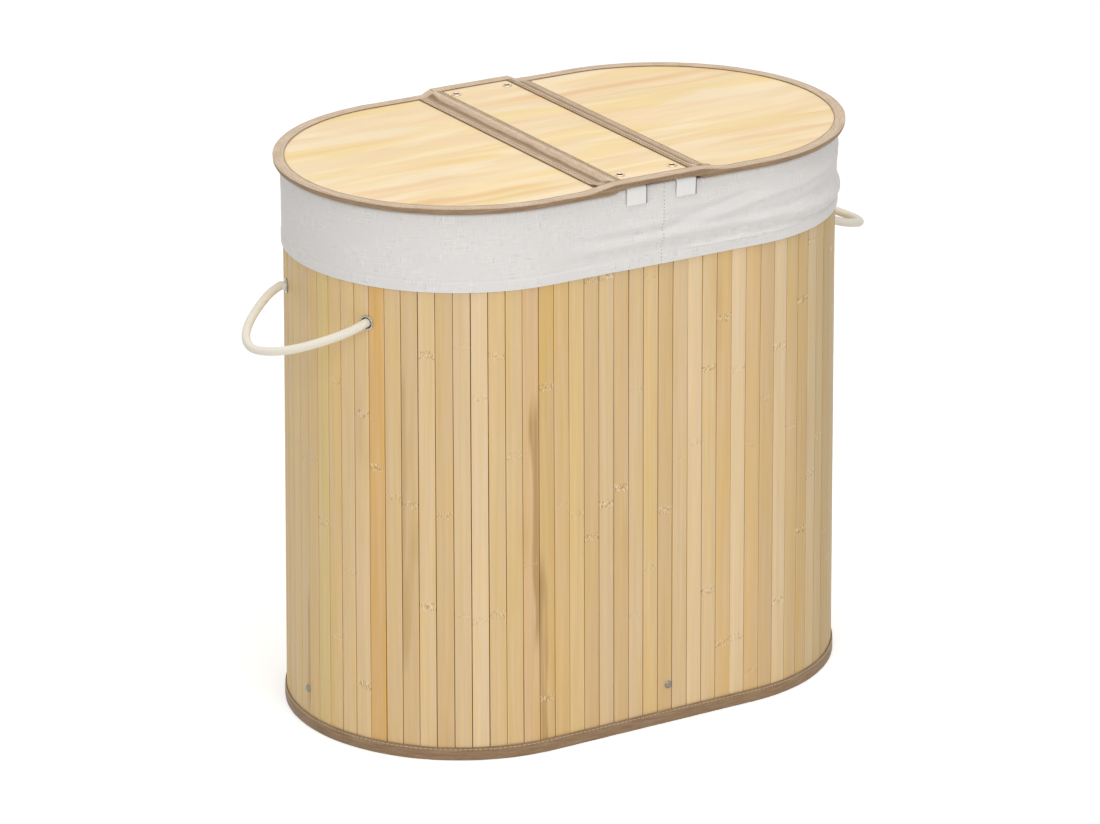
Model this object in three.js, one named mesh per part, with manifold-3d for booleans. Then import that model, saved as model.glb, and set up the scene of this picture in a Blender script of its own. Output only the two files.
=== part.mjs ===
// Laundry hamper with two bins: a wall of flat bamboo slats wrapped round a long oval, a cotton
// liner with two bags, and a bamboo lid in three parts. The middle band of the lid is fixed, and
// the parts at its left and right lift on cloth hinge tapes. A rope handle hangs at each end.
// The origin is on the floor under the middle of the hamper, with X along it and Z up.
// Sizes are in millimetres. A place on the oval is given by s, the way along the wall's outer
// face from the middle of the front towards the right end.

import * as THREE from 'three';
import { mergeVertices } from 'three/addons/utils/BufferGeometryUtils.js';
import Module from 'manifold-3d';

const wasm = await Module();
wasm.setup();

// The whole hamper
const lidLength = 625;
const lidWidth = 380;
const closedHeight = 595;
const lidOverhang = 9;
const gap = 0.3;
const cutOverrun = 2;
const sameSpot = 0.01;
const sameTurn = THREE.MathUtils.degToRad(0.1);

// The slat wall: frontSlats on each straight panel and endSlats on each round one
const frontSlats = 14;
const endSlats = 32;
const slatGap = 1.2;
const slatThickness = 2.8;
const backingThickness = 1.2;
const wrapTurn = 17;
const rivetToSlatGap = 12.9;

// Binding tape on the edges of the wall, the lids and the band
const bindingThickness = 1.4;
const bindingCorner = 1;
const baseBindingHeight = 14.5;
const rimBindingHeight = 16;
const lidBindingReach = 11;

// Lid panels and the fixed band between them
const panelThickness = 4;
const bandHalfWidth = 47.5;
const bandRise = 5;
const hingeHalfSpan = 50.5;
const hingeToLid = 3;
const hingeAboveLid = 0.3;

// Hinge tapes
const tapeThickness = 1.2;
const tapeOnBand = 7.5;
const tapeOnLid = 13.5;
const tapeFold = 1;

// Hollow rivets in the band
const bandRivetX = 31;
const bandRivetToEdge = 28;
const bandRivetHead = 4.5;
const bandRivetBore = 1.8;
const bandRivetShank = 2.6;
const bandRivetRise = 0.9;

// Webbing straps under the band
const strapHalfSpread = 29.5;
const strapShift = 4.5;
const strapWidth = 24;
const strapThickness = 2;
const strapDrop = 15;
const strapUnderBand = 36;

// The liner's cuff outside the rim
const linerThickness = 1;
const cuffDrop = 83.5;
const cuffInsideDrop = 42;
const cuffHemLoose = 0.1;
const cuffShoulder = 15;
const cuffCorner = 2.4;
const cuffFoldDepth = 1.6;
const cuffFolds = 11;

// The liner's bags and the divider between them
const bagRimBelowLid = 27;
const bagTaper = 5;
const bagCorner = 13;
const dividerThickness = 2.4;
const knotDent = 17;
const knotDentSpread = 46;

// The base board, its tabs and the rivets that hold them to the wall
const boardThickness = 4;
const boardEdgeGap = 0.5;
const tabWidth = 32;
const tabThickness = 1.4;
const tabHeight = 54;
const tabUnderBoard = 40;
const tabFloorGap = 0.6;
const rivetHeight = 42;
const rivetHead = 4.2;
const rivetDome = 1.7;
const rivetShank = 2.2;
const washerRadius = 4.8;
const washerThickness = 0.9;

// Eyelets, rope ends and rope handles
const eyeletBelowHem = 39.6;
const eyeletToApex = 73.5;
const ropeRadius = 4.5;
const ropePlay = 1.1;
const eyeletWall = 0.6;
const eyeletFlange = 7.6;
const eyeletLip = 0.9;
const stubBeyondEyelet = 0.8;
const knotRadius = 9.2;
const knotLength = 14;
const handleReach = 87;
const handleDroop = THREE.MathUtils.degToRad(20);

// The rope's route from the front eyelet to the back one, as shares of half the handle's span
// and of its reach
const ropeRouteShares = [
  [-1, 0], [-0.985, 0.1], [-0.93, 0.24], [-0.83, 0.42], [-0.68, 0.62],
  [-0.48, 0.81], [-0.25, 0.94], [0, 1], [0.24, 0.955], [0.46, 0.84],
  [0.65, 0.67], [0.81, 0.47], [0.93, 0.28], [0.99, 0.13], [1, 0],
];

// Counts of steps in round shapes
const roundSteps = 20;
const turnedSteps = 14;
const ropeSides = 8;
const ropeSteps = 34;

// Sizes that follow from those above
const straightHalf = (lidLength - lidWidth) / 2;
const lidRadius = lidWidth / 2;
const wallRadius = lidRadius - lidOverhang;
const wallThickness = slatThickness + backingThickness;
const wallInner = wallRadius - wallThickness;
const endArc = Math.PI * wallRadius;
const perimeter = 4 * straightHalf + 2 * endArc;
const slatPitch = perimeter / (2 * (frontSlats + endSlats));
const rimThickness = panelThickness + 2 * (bindingThickness + gap);
const lidUnderside = closedHeight - rimThickness;
const bandTop = closedHeight + bandRise;
const bandUnderside = bandTop - rimThickness;
const cuffTop = lidUnderside - gap;
const rimBindingTop = cuffTop - linerThickness - gap;
const wallTop = rimBindingTop - bindingThickness - gap;
const wallBottom = bindingThickness + gap;
const bindingOuter = wallRadius + gap + bindingThickness;
const bindingInner = wallInner - gap - bindingThickness;
const tabOuter = bindingInner - 2 * gap;
const tabInner = tabOuter - tabThickness;
const boardRadius = tabInner - boardEdgeGap;
const boardBottom = tabFloorGap + tabThickness + gap;
const boardTop = boardBottom + boardThickness;
const bagFloor = boardTop + gap;
const bagRim = lidUnderside - bagRimBelowLid;
const eyeletHeight = lidUnderside - cuffDrop - eyeletBelowHem;
const leftApex = wrapTurn - perimeter / 4;
const firstGap = wrapTurn - rivetToSlatGap - (slatPitch * frontSlats) / 2;

const finishes = {
  bambooSlat: { color: 0xdcbd8e, roughness: 0.5, metalness: 0 },
  bambooBoard: { color: 0xf2d9ae, roughness: 0.45, metalness: 0 },
  bindingTape: { color: 0xab9577, roughness: 0.9, metalness: 0 },
  linerCotton: { color: 0xe2dedb, roughness: 0.95, metalness: 0 },
  whiteWebbing: { color: 0xe8e6e1, roughness: 0.9, metalness: 0 },
  cottonRope: { color: 0xefeadc, roughness: 0.9, metalness: 0 },
  darkRivet: { color: 0x77756c, roughness: 0.4, metalness: 0.8 },
  steelEyelet: { color: 0xa9a9a6, roughness: 0.3, metalness: 0.9 },
  boardCloth: { color: 0xcfc8bc, roughness: 0.95, metalness: 0 },
};

// Solids

// Returns the geometry with its shared corners merged and its faces pointing out.
function sealed(geometry) {
  const bare = new THREE.BufferGeometry();
  bare.setAttribute('position', geometry.getAttribute('position').clone());
  if (geometry.index) {
    bare.setIndex(geometry.index.clone());
  }
  const merged = mergeVertices(bare);
  const corner = (i) => new THREE.Vector3().fromBufferAttribute(merged.getAttribute('position'), i);
  const kept = [];
  let volume = 0;
  for (let i = 0; i < merged.index.count; i += 3) {
    const [a, b, c] = [0, 1, 2].map((k) => merged.index.getX(i + k));
    if (a !== b && b !== c && c !== a) {
      kept.push([a, b, c]);
      volume += corner(a).dot(corner(b).cross(corner(c)));
    }
  }
  merged.setIndex(kept.flatMap(([a, b, c]) => (volume < 0 ? [a, c, b] : [a, b, c])));
  return merged;
}

function toManifold(geometry) {
  const closed = sealed(geometry);
  return new wasm.Manifold(new wasm.Mesh({
    numProp: 3,
    vertProperties: new Float32Array(closed.getAttribute('position').array),
    triVerts: new Uint32Array(closed.index.array),
  }));
}

function fromManifold(manifold) {
  const mesh = manifold.getMesh();
  const geometry = new THREE.BufferGeometry();
  geometry.setAttribute('position', new THREE.BufferAttribute(new Float32Array(mesh.vertProperties), 3));
  geometry.setIndex(new THREE.BufferAttribute(new Uint32Array(mesh.triVerts), 1));
  return geometry;
}

function cut(geometry, ...tools) {
  return fromManifold(tools.reduce((body, tool) => body.subtract(toManifold(tool)), toManifold(geometry)));
}

function join(geometry, ...others) {
  return fromManifold(others.reduce((body, other) => body.add(toManifold(other)), toManifold(geometry)));
}

function common(geometry, other) {
  return fromManifold(toManifold(geometry).intersect(toManifold(other)));
}

// Joins rows of points, each row one closed outline. With a flat outline the first and last rows
// are capped, and without one the last row is joined to the first.
function loft(rows, outline) {
  const across = rows[0].length;
  const faces = [];
  const bands = outline ? rows.length - 1 : rows.length;
  for (let i = 0; i < bands; i += 1) {
    const next = ((i + 1) % rows.length) * across;
    for (let j = 0; j < across; j += 1) {
      const k = (j + 1) % across;
      faces.push(i * across + j, i * across + k, next + k, i * across + j, next + k, next + j);
    }
  }
  if (outline) {
    const flat = outline.map(([x, y]) => new THREE.Vector2(x, y));
    const turn = Math.sign(THREE.ShapeUtils.area(flat));
    const last = (rows.length - 1) * across;
    for (const face of THREE.ShapeUtils.triangulateShape(flat, [])) {
      const same = Math.sign(THREE.ShapeUtils.area(face.map((i) => flat[i]))) === turn;
      const [a, b, c] = same ? face : [face[0], face[2], face[1]];
      faces.push(c, b, a, last + a, last + b, last + c);
    }
  }
  const geometry = new THREE.BufferGeometry();
  const places = rows.flat().flatMap((point) => point.toArray());
  geometry.setAttribute('position', new THREE.Float32BufferAttribute(places, 3));
  geometry.setIndex(faces);
  return sealed(geometry);
}

function extruded(points, low, high) {
  const shape = new THREE.Shape(points.map(([x, y]) => new THREE.Vector2(x, y)));
  const geometry = new THREE.ExtrudeGeometry(shape, { depth: high - low, bevelEnabled: false });
  return geometry.translate(0, 0, low);
}

// A profile of (y, z) points drawn out along X.
function drawnAlongX(points, from, to) {
  const geometry = extruded(points, from, to);
  geometry.applyMatrix4(new THREE.Matrix4().makeBasis(
    new THREE.Vector3(0, 1, 0), new THREE.Vector3(0, 0, 1), new THREE.Vector3(1, 0, 0),
  ));
  return geometry;
}

// A profile of (x, z) points drawn out along Y.
function drawnAlongY(points, from, to) {
  const geometry = extruded(points.map(([x, z]) => [z, x]), from, to);
  geometry.applyMatrix4(new THREE.Matrix4().makeBasis(
    new THREE.Vector3(0, 0, 1), new THREE.Vector3(1, 0, 0), new THREE.Vector3(0, 1, 0),
  ));
  return geometry;
}

function turned(profile, steps = turnedSteps) {
  return new THREE.LatheGeometry(profile.map(([r, y]) => new THREE.Vector2(r, y)), steps);
}

// The oval

// The point at s on the oval of that radius round the ends, and the way out from it.
function ovalAt(s, radius) {
  const way = ((s % perimeter) + perimeter) % perimeter;
  const half = perimeter / 2;
  const back = way > half;
  const along = back ? way - half : way;
  const turn = THREE.MathUtils.clamp((along - straightHalf) / wallRadius, 0, Math.PI);
  let middle = straightHalf;
  if (along < straightHalf) {
    middle = along;
  } else if (along > straightHalf + endArc) {
    middle = half - along;
  }
  const outward = new THREE.Vector2(Math.sin(turn), -Math.cos(turn));
  const point = new THREE.Vector2(middle, 0).addScaledVector(outward, radius);
  return back ? { point: point.negate(), outward: outward.negate() } : { point, outward };
}

// Stations from one s to another, close together round the ends, without the last.
function stationsAlong(from, to, arcSteps, straightSteps = 1) {
  const corners = [];
  for (let halves = -2; halves <= 2; halves += 1) {
    const middle = (halves * perimeter) / 2;
    corners.push(middle - straightHalf, middle + straightHalf);
  }
  const marks = [from, ...corners.filter((s) => s > from + sameSpot && s < to - sameSpot), to];
  const stations = [];
  for (let i = 0; i + 1 < marks.length; i += 1) {
    const length = marks[i + 1] - marks[i];
    const turnsBy = ovalAt(marks[i], 0).outward.angleTo(ovalAt(marks[i + 1], 0).outward);
    const steps = turnsBy > sameTurn ? Math.ceil((arcSteps * length) / endArc) : straightSteps;
    for (let k = 0; k < steps; k += 1) {
      stations.push(marks[i] + (length * k) / steps);
    }
  }
  return stations;
}

function wholeOval(arcSteps, straightSteps) {
  return stationsAlong(-straightHalf, perimeter - straightHalf, arcSteps, straightSteps);
}

// Stations at the gaps between slats, where tape and cloth bend with the wall. On the straight
// panels only every skip-th one is kept.
function wrapStations(skip) {
  const slats = 2 * (frontSlats + endSlats);
  const gaps = Array.from({ length: slats }, (_, i) => firstGap + i * slatPitch);
  const bends = (s) => Math.abs(Math.abs(ovalAt(s, 0).point.x) - straightHalf) < slatPitch;
  return gaps.filter((s, i) => bends(s) || i % skip === 0);
}

// Sweeps a profile of (radius, z) points round the oval. push(s, z) moves a point outwards.
function sweptRound(profile, stations, capped, push = () => 0) {
  const rows = stations.map((s) => profile.map(([radius, z]) => {
    const { point } = ovalAt(s, radius + push(s, z, radius));
    return new THREE.Vector3(point.x, point.y, z);
  }));
  return loft(rows, capped ? profile : null);
}

function ovalPlate(radius, low, high) {
  const outline = wholeOval(roundSteps).map((s) => ovalAt(s, radius).point.toArray());
  return extruded(outline, low, high);
}

// A curved plate from one s to another between two radii.
function arcPlate(from, to, inner, outer, low, high, steps = 4) {
  const stations = Array.from({ length: steps + 1 }, (_, i) => from + ((to - from) * i) / steps);
  const face = (radius) => stations.map((s) => ovalAt(s, radius).point.toArray());
  return extruded([...face(outer), ...face(inner).reverse()], low, high);
}

// Places a solid turned about Y so that its Y axis leaves the wall's face at s.
function wallPlace(s, z) {
  const { point, outward } = ovalAt(s, wallRadius);
  const turn = new THREE.Quaternion().setFromUnitVectors(
    new THREE.Vector3(0, 1, 0), new THREE.Vector3(outward.x, outward.y, 0),
  );
  return { position: new THREE.Vector3(point.x, point.y, z), turn };
}

function wallDrill(s, z, radius, depth) {
  const drill = new THREE.CylinderGeometry(radius, radius, depth + 2 * cutOverrun, turnedSteps);
  drill.translate(0, -depth / 2, 0);
  const { position, turn } = wallPlace(s, z);
  return drill.applyMatrix4(new THREE.Matrix4().compose(position, turn, new THREE.Vector3(1, 1, 1)));
}

// Placing pieces

function piece(parent, name, geometry, finish) {
  const solid = sealed(geometry);
  solid.computeVertexNormals();
  const material = new THREE.MeshStandardMaterial({ ...finishes[finish], flatShading: true });
  const mesh = new THREE.Mesh(solid, material);
  mesh.name = name;
  parent.add(mesh);
  return mesh;
}

function pieceOnWall(parent, name, geometry, finish, s, z) {
  const mesh = piece(parent, name, geometry, finish);
  const { position, turn } = wallPlace(s, z);
  mesh.position.copy(position);
  mesh.quaternion.copy(turn);
  return mesh;
}

// The wall

// Flat slats on their backing cloth, as one plan outline drawn up. Each slat is a chord of the
// oval, and the cloth is bent at each gap between slats.
function slatPanel(start, slats) {
  const outside = [];
  const inside = [];
  const groove = wallRadius - slatThickness;
  for (let i = 0; i <= slats; i += 1) {
    const s = start + i * slatPitch;
    if (i > 0) {
      outside.push(ovalAt(s - slatGap / 2, wallRadius), ovalAt(s - slatGap / 2, groove));
    }
    if (i === 0 || i === slats) {
      const edge = s + (i === 0 ? gap : -gap) / 2;
      outside.push(ovalAt(edge, groove));
      inside.push(ovalAt(edge, wallInner));
    } else {
      inside.push(ovalAt(s, wallInner));
    }
    if (i < slats) {
      outside.push(ovalAt(s + slatGap / 2, groove), ovalAt(s + slatGap / 2, wallRadius));
    }
  }
  const outline = [...outside, ...inside.reverse()].map(({ point }) => point.toArray());
  return extruded(outline, wallBottom, wallTop);
}

// Tape folded over an edge of the wall, as (radius, z) points. The fold is at closedZ.
function wallBindingProfile(closedZ, openZ) {
  const up = Math.sign(openZ - closedZ);
  const fold = closedZ + up * bindingThickness;
  const corner = closedZ + up * bindingCorner;
  return [
    [bindingOuter, openZ],
    [bindingOuter - bindingThickness, openZ],
    [bindingOuter - bindingThickness, fold],
    [bindingInner + bindingThickness, fold],
    [bindingInner + bindingThickness, openZ],
    [bindingInner, openZ],
    [bindingInner, corner],
    [bindingInner + bindingCorner, closedZ],
    [bindingOuter - bindingCorner, closedZ],
    [bindingOuter, corner],
  ];
}

// Tape folded over a panel's edge, as (distance out, z) points. The fold is at outer.
function panelBindingProfile(outer, low, high) {
  const reach = outer - lidBindingReach;
  const fold = outer - bindingThickness;
  return [
    [reach, high],
    [reach, high - bindingThickness],
    [fold, high - bindingThickness],
    [fold, low + bindingThickness],
    [reach, low + bindingThickness],
    [reach, low],
    [outer - bindingCorner, low],
    [outer, low + bindingCorner],
    [outer, high - bindingCorner],
    [outer - bindingCorner, high],
  ];
}

// The liner

// The cuff is an inverted U in section: a skirt outside the wall, a fold over the rim and a
// shorter skirt inside.
function cuffProfile() {
  const hem = lidUnderside - cuffDrop;
  const insideHem = lidUnderside - cuffInsideDrop;
  const shoulder = cuffTop - cuffShoulder;
  const skirt = bindingOuter + gap;
  const hemInner = wallRadius + gap + cuffHemLoose;
  const lining = bindingInner - gap;
  const fold = cuffTop - linerThickness;
  return [
    [hemInner, hem],
    [hemInner + linerThickness, hem],
    [(hemInner + skirt) / 2 + linerThickness, (hem + shoulder) / 2],
    [skirt + linerThickness, shoulder],
    [skirt + linerThickness, cuffTop - cuffCorner],
    [skirt + linerThickness - cuffCorner, cuffTop],
    [lining - linerThickness + cuffCorner, cuffTop],
    [lining - linerThickness, cuffTop - cuffCorner],
    [lining - linerThickness, insideHem],
    [lining, insideHem],
    [lining, fold],
    [skirt, fold],
    [skirt, shoulder],
    [(hemInner + skirt) / 2, (hem + shoulder) / 2],
  ];
}

// The cuff's slack stands off the wall in long shallow folds that die out at the shoulder.
function cuffPush(s, z, radius) {
  const shoulder = cuffTop - cuffShoulder;
  if (z >= shoulder || radius < wallRadius) {
    return 0;
  }
  const share = Math.min(1, (shoulder - z) / (cuffDrop / 2));
  const wave = 0.5 + 0.5 * Math.sin((cuffFolds * 2 * Math.PI * s) / perimeter);
  return cuffFoldDepth * share * wave;
}

// Heights up a bag and its radius there, from the middle of the floor corner to the rim.
function bagLevels() {
  const rimRadius = bindingInner - gap - linerThickness - 2 * gap;
  const corner = 1 - Math.SQRT1_2;
  const levels = [
    [bagFloor, rimRadius - bagTaper - bagCorner],
    [bagFloor + corner * bagCorner, rimRadius - bagTaper - corner * bagCorner],
    [bagFloor + bagCorner, rimRadius - bagTaper],
  ];
  const heights = [
    eyeletHeight - 3 * knotDentSpread,
    eyeletHeight - knotDentSpread,
    eyeletHeight,
    eyeletHeight + knotDentSpread,
    bagRim,
  ];
  for (const z of heights) {
    levels.push([z, rimRadius - (bagTaper * (bagRim - z)) / (bagRim - bagFloor)]);
  }
  return levels;
}

// The bags give way to the four knots behind the eyelets.
function knotPush(s, z) {
  let push = 0;
  for (const apex of [leftApex, leftApex + perimeter / 2]) {
    for (const side of [-1, 1]) {
      const lap = Math.round((s - apex) / perimeter) * perimeter;
      const along = s - lap - apex - side * eyeletToApex;
      const off = Math.hypot(along, z - eyeletHeight) / knotDentSpread;
      push -= knotDent * Math.exp(-off * off);
    }
  }
  return push;
}

// Both bags together, as one tub with rows up its outside and down its inside.
function bagTub() {
  const stations = wholeOval(roundSteps, 2);
  const row = (radius, z, inset) => stations.map((s) => {
    const { point } = ovalAt(s, radius - inset + (z < bagRim ? knotPush(s, z) : 0));
    return new THREE.Vector3(point.x, point.y, z);
  });
  const levels = bagLevels();
  const outside = levels.map(([z, radius]) => row(radius, z, 0));
  const inside = levels.map(([z, radius], i) => {
    const lift = i < 2 ? linerThickness : 0;
    return row(radius, z + lift, linerThickness);
  });
  const outline = stations.map((s) => ovalAt(s, wallRadius).point.toArray());
  return loft([...outside, ...inside.reverse()], outline);
}

function bagHalf() {
  const reach = straightHalf + lidRadius;
  const keep = new THREE.BoxGeometry(reach, lidWidth, closedHeight);
  const slot = dividerThickness / 2 + gap;
  keep.translate(-reach / 2 - slot, 0, closedHeight / 2);
  return common(bagTub(), keep);
}

function dividerPanel() {
  const edge = bagLevels();
  const front = edge.map(([z, radius]) => [-radius, z]);
  const back = edge.map(([z, radius]) => [radius, z]).reverse();
  return drawnAlongX([...front, ...back], -dividerThickness / 2, dividerThickness / 2);
}

// Base tabs: a leg up the inside of the wall and a foot under the board.
function baseTab(s) {
  const from = s - tabWidth / 2;
  const to = s + tabWidth / 2;
  const footTop = tabFloorGap + tabThickness;
  const leg = arcPlate(from, to, tabInner, tabOuter, tabFloorGap, tabHeight);
  const foot = arcPlate(from, to, tabInner - tabUnderBoard, tabOuter, tabFloorGap, footTop);
  const depth = wallRadius - tabInner;
  return cut(join(leg, foot), wallDrill(s, rivetHeight, rivetShank + gap, depth));
}

function baseRivet() {
  const seat = tabInner - wallRadius - gap;
  return turned([
    [0, gap + rivetDome],
    [rivetHead * Math.SQRT1_2, gap + rivetDome * Math.SQRT1_2],
    [rivetHead, gap],
    [rivetShank, gap],
    [rivetShank, seat],
    [washerRadius, seat],
    [washerRadius, seat - washerThickness],
    [0, seat - washerThickness],
  ]);
}

// Eyelets and ropes, on an axis that leaves the wall at its face
const eyeletBore = ropeRadius + ropePlay;
const eyeletBarrel = eyeletBore + eyeletWall;
const eyeletSeat = -wallThickness - 2 * gap;
const stubEnd = gap + eyeletLip + stubBeyondEyelet;
const knotSeat = eyeletSeat - eyeletLip - gap;

function eyelet() {
  return turned([
    [eyeletBore, gap + eyeletLip],
    [eyeletFlange - eyeletLip / 2, gap + eyeletLip],
    [eyeletFlange, gap + eyeletLip / 2],
    [eyeletFlange, gap],
    [eyeletBarrel, gap],
    [eyeletBarrel, eyeletSeat],
    [eyeletFlange, eyeletSeat],
    [eyeletFlange, eyeletSeat - eyeletLip],
    [eyeletBore, eyeletSeat - eyeletLip],
    [eyeletBore, gap + eyeletLip],
  ]);
}

function ropeEnd() {
  const bulge = [];
  for (let i = 0; i <= 4; i += 1) {
    const angle = (Math.PI * (i + 1)) / 6;
    bulge.push([knotRadius * Math.sin(angle), knotSeat - (knotLength * (1 - Math.cos(angle))) / 2]);
  }
  return turned([
    [0, stubEnd],
    [ropeRadius, stubEnd],
    [ropeRadius, knotSeat],
    ...bulge,
    [0, knotSeat - knotLength],
  ], turnedSteps - 2);
}

// The left handle's frame: its swing axis runs through both rope ends, just outside the eyelets.
function handleFrame() {
  const axisRadius = wallRadius + stubEnd + gap + ropeRadius;
  const front = ovalAt(leftApex + eyeletToApex, axisRadius).point;
  const back = ovalAt(leftApex - eyeletToApex, axisRadius).point;
  const middle = new THREE.Vector3((front.x + back.x) / 2, (front.y + back.y) / 2, eyeletHeight);
  const span = new THREE.Vector3(back.x - front.x, back.y - front.y, 0);
  const along = span.clone().normalize();
  const out = new THREE.Vector3(-along.y, along.x, 0);
  return { middle, along, out, halfSpan: span.length() / 2 };
}

function handleLoop() {
  const { middle, along, out, halfSpan } = handleFrame();
  const down = new THREE.Vector3(0, 0, -1);
  const reach = out.multiplyScalar(Math.cos(handleDroop)).addScaledVector(down, Math.sin(handleDroop));
  const route = ropeRouteShares.map(([spanShare, reachShare]) => middle.clone()
    .addScaledVector(along, spanShare * halfSpan)
    .addScaledVector(reach, reachShare * handleReach));
  const section = new THREE.Shape();
  section.absarc(0, 0, ropeRadius, 0, 2 * Math.PI);
  const loop = new THREE.ExtrudeGeometry(section, {
    steps: ropeSteps,
    curveSegments: ropeSides,
    bevelEnabled: false,
    extrudePath: new THREE.CatmullRomCurve3(route),
  });
  const ends = [route[0], route[route.length - 1]].map((end) => {
    const ball = new THREE.SphereGeometry(ropeRadius, ropeSides, ropeSides / 2);
    return ball.translate(end.x, end.y, end.z);
  });
  return join(loop, ...ends);
}

// Lids, band and hinges

const panelEdge = lidRadius - bindingThickness - gap;
const panelTopBelowBinding = bindingThickness + gap;

function lidPanel() {
  const low = lidUnderside + panelTopBelowBinding;
  const from = -perimeter / 2 + hingeHalfSpan + hingeToLid;
  const to = -hingeHalfSpan - hingeToLid;
  const stations = [...stationsAlong(from, to, roundSteps), to];
  const outline = stations.map((s) => ovalAt(s, panelEdge).point.toArray());
  return extruded(outline, low, low + panelThickness);
}

function lidBinding() {
  const from = -perimeter / 2 + hingeHalfSpan + hingeToLid;
  const to = -hingeHalfSpan - hingeToLid;
  const stations = [...stationsAlong(from, to, roundSteps), to];
  return sweptRound(panelBindingProfile(lidRadius, lidUnderside, closedHeight), stations, true);
}

const tapeHalfLength = lidRadius - lidBindingReach - gap;
const hingeZ = closedHeight + hingeAboveLid;
const lidPanelTop = closedHeight - panelTopBelowBinding;

// The leaf of the left hinge tape on the lid: flat on the panel, with a lip to the hinge line.
function lidLeaf() {
  const low = lidPanelTop + gap;
  const edge = -hingeHalfSpan - hingeToLid - tapeOnLid;
  const lip = -hingeHalfSpan - gap;
  return drawnAlongY([
    [edge, low],
    [-hingeHalfSpan - hingeToLid, low],
    [lip, low - tapeFold],
    [lip, low - tapeFold + tapeThickness],
    [-hingeHalfSpan - hingeToLid, low + tapeThickness],
    [edge, low + tapeThickness],
  ], -tapeHalfLength, tapeHalfLength);
}

// The leaf of the left hinge tape on the band: flat on the panel, over its edge and down to the
// hinge line.
function bandLeaf() {
  const low = bandTop - panelTopBelowBinding + gap;
  const side = -bandHalfWidth - gap;
  const foot = lidPanelTop + gap - tapeFold;
  const lip = -hingeHalfSpan + gap;
  return drawnAlongY([
    [side + gap + tapeOnBand, low + tapeThickness],
    [side + gap + tapeOnBand, low],
    [side, low],
    [side, foot],
    [lip, foot],
    [lip, foot + tapeThickness],
    [side - tapeThickness, foot + tapeThickness + tapeFold],
    [side - tapeThickness, low],
    [side, low + tapeThickness],
  ], -tapeHalfLength, tapeHalfLength);
}

function bandPanel() {
  const low = bandUnderside + panelTopBelowBinding;
  const corner = [bandHalfWidth, panelEdge];
  const outline = [[-1, -1], [1, -1], [1, 1], [-1, 1]].map(([x, y]) => [x * corner[0], y * corner[1]]);
  const holes = [[-1, -1], [1, -1], [1, 1], [-1, 1]].map(([x, y]) => {
    const drill = new THREE.CylinderGeometry(
      bandRivetShank + gap, bandRivetShank + gap, panelThickness + 2 * cutOverrun, turnedSteps,
    );
    drill.rotateX(Math.PI / 2);
    return drill.translate(x * bandRivetX, y * (lidRadius - bandRivetToEdge), low + panelThickness / 2);
  });
  return cut(extruded(outline, low, low + panelThickness), ...holes);
}

function bandBinding() {
  const profile = panelBindingProfile(lidRadius, bandUnderside, bandTop);
  return drawnAlongX(profile.map(([out, z]) => [-out, z]), -bandHalfWidth, bandHalfWidth);
}

// A hollow rivet, about its own axis, with its head's seat at zero.
function bandRivet() {
  const lower = -panelThickness - gap;
  return turned([
    [bandRivetBore, bandRivetRise + gap],
    [bandRivetHead - bandRivetRise, bandRivetRise + gap],
    [bandRivetHead, gap],
    [bandRivetShank, gap],
    [bandRivetShank, lower],
    [bandRivetHead, lower],
    [bandRivetHead, lower - bandRivetRise],
    [bandRivetBore, lower - bandRivetRise],
    [bandRivetBore, bandRivetRise + gap],
  ]);
}

// A strap comes out between the band and the cuff, where it is folded double, and hangs down.
function bandStrap(x) {
  const top = bandUnderside - gap;
  const hang = bindingOuter + gap + linerThickness + gap;
  const outer = hang + strapThickness;
  return drawnAlongX([
    [-outer, cuffTop - strapDrop],
    [-hang, cuffTop - strapDrop],
    [-hang, cuffTop + gap],
    [-outer + strapUnderBand, cuffTop + gap],
    [-outer + strapUnderBand, top],
    [-hang, top],
    [-outer, top - strapThickness],
  ], x - strapWidth / 2, x + strapWidth / 2);
}

// The assembly: the right and back pieces are the left and front ones turned half round.

const hamper = new THREE.Group();

const base = new THREE.Group();
const wall = wrapStations(frontSlats);
const baseProfile = wallBindingProfile(0, baseBindingHeight);
piece(base, 'base_binding', sweptRound(baseProfile, wall, false), 'bindingTape');
piece(base, 'base_board', ovalPlate(boardRadius, boardBottom, boardTop), 'boardCloth');
hamper.add(base);

const rim = new THREE.Group();
const rimProfile = wallBindingProfile(rimBindingTop, rimBindingTop - rimBindingHeight);
piece(rim, 'rim_binding', sweptRound(rimProfile, wall, false), 'bindingTape');
piece(rim, 'liner_cuff', sweptRound(cuffProfile(), wrapStations(2), false, cuffPush), 'linerCotton');
piece(rim, 'liner_divider', dividerPanel(), 'linerCotton');
hamper.add(rim);

const band = new THREE.Group();
piece(band, 'band_panel', bandPanel(), 'bambooBoard');
hamper.add(band);

const bothHalves = [
  { end: 'left', side: 'front', other: 'right', turn: 0 },
  { end: 'right', side: 'back', other: 'left', turn: Math.PI },
];

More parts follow.
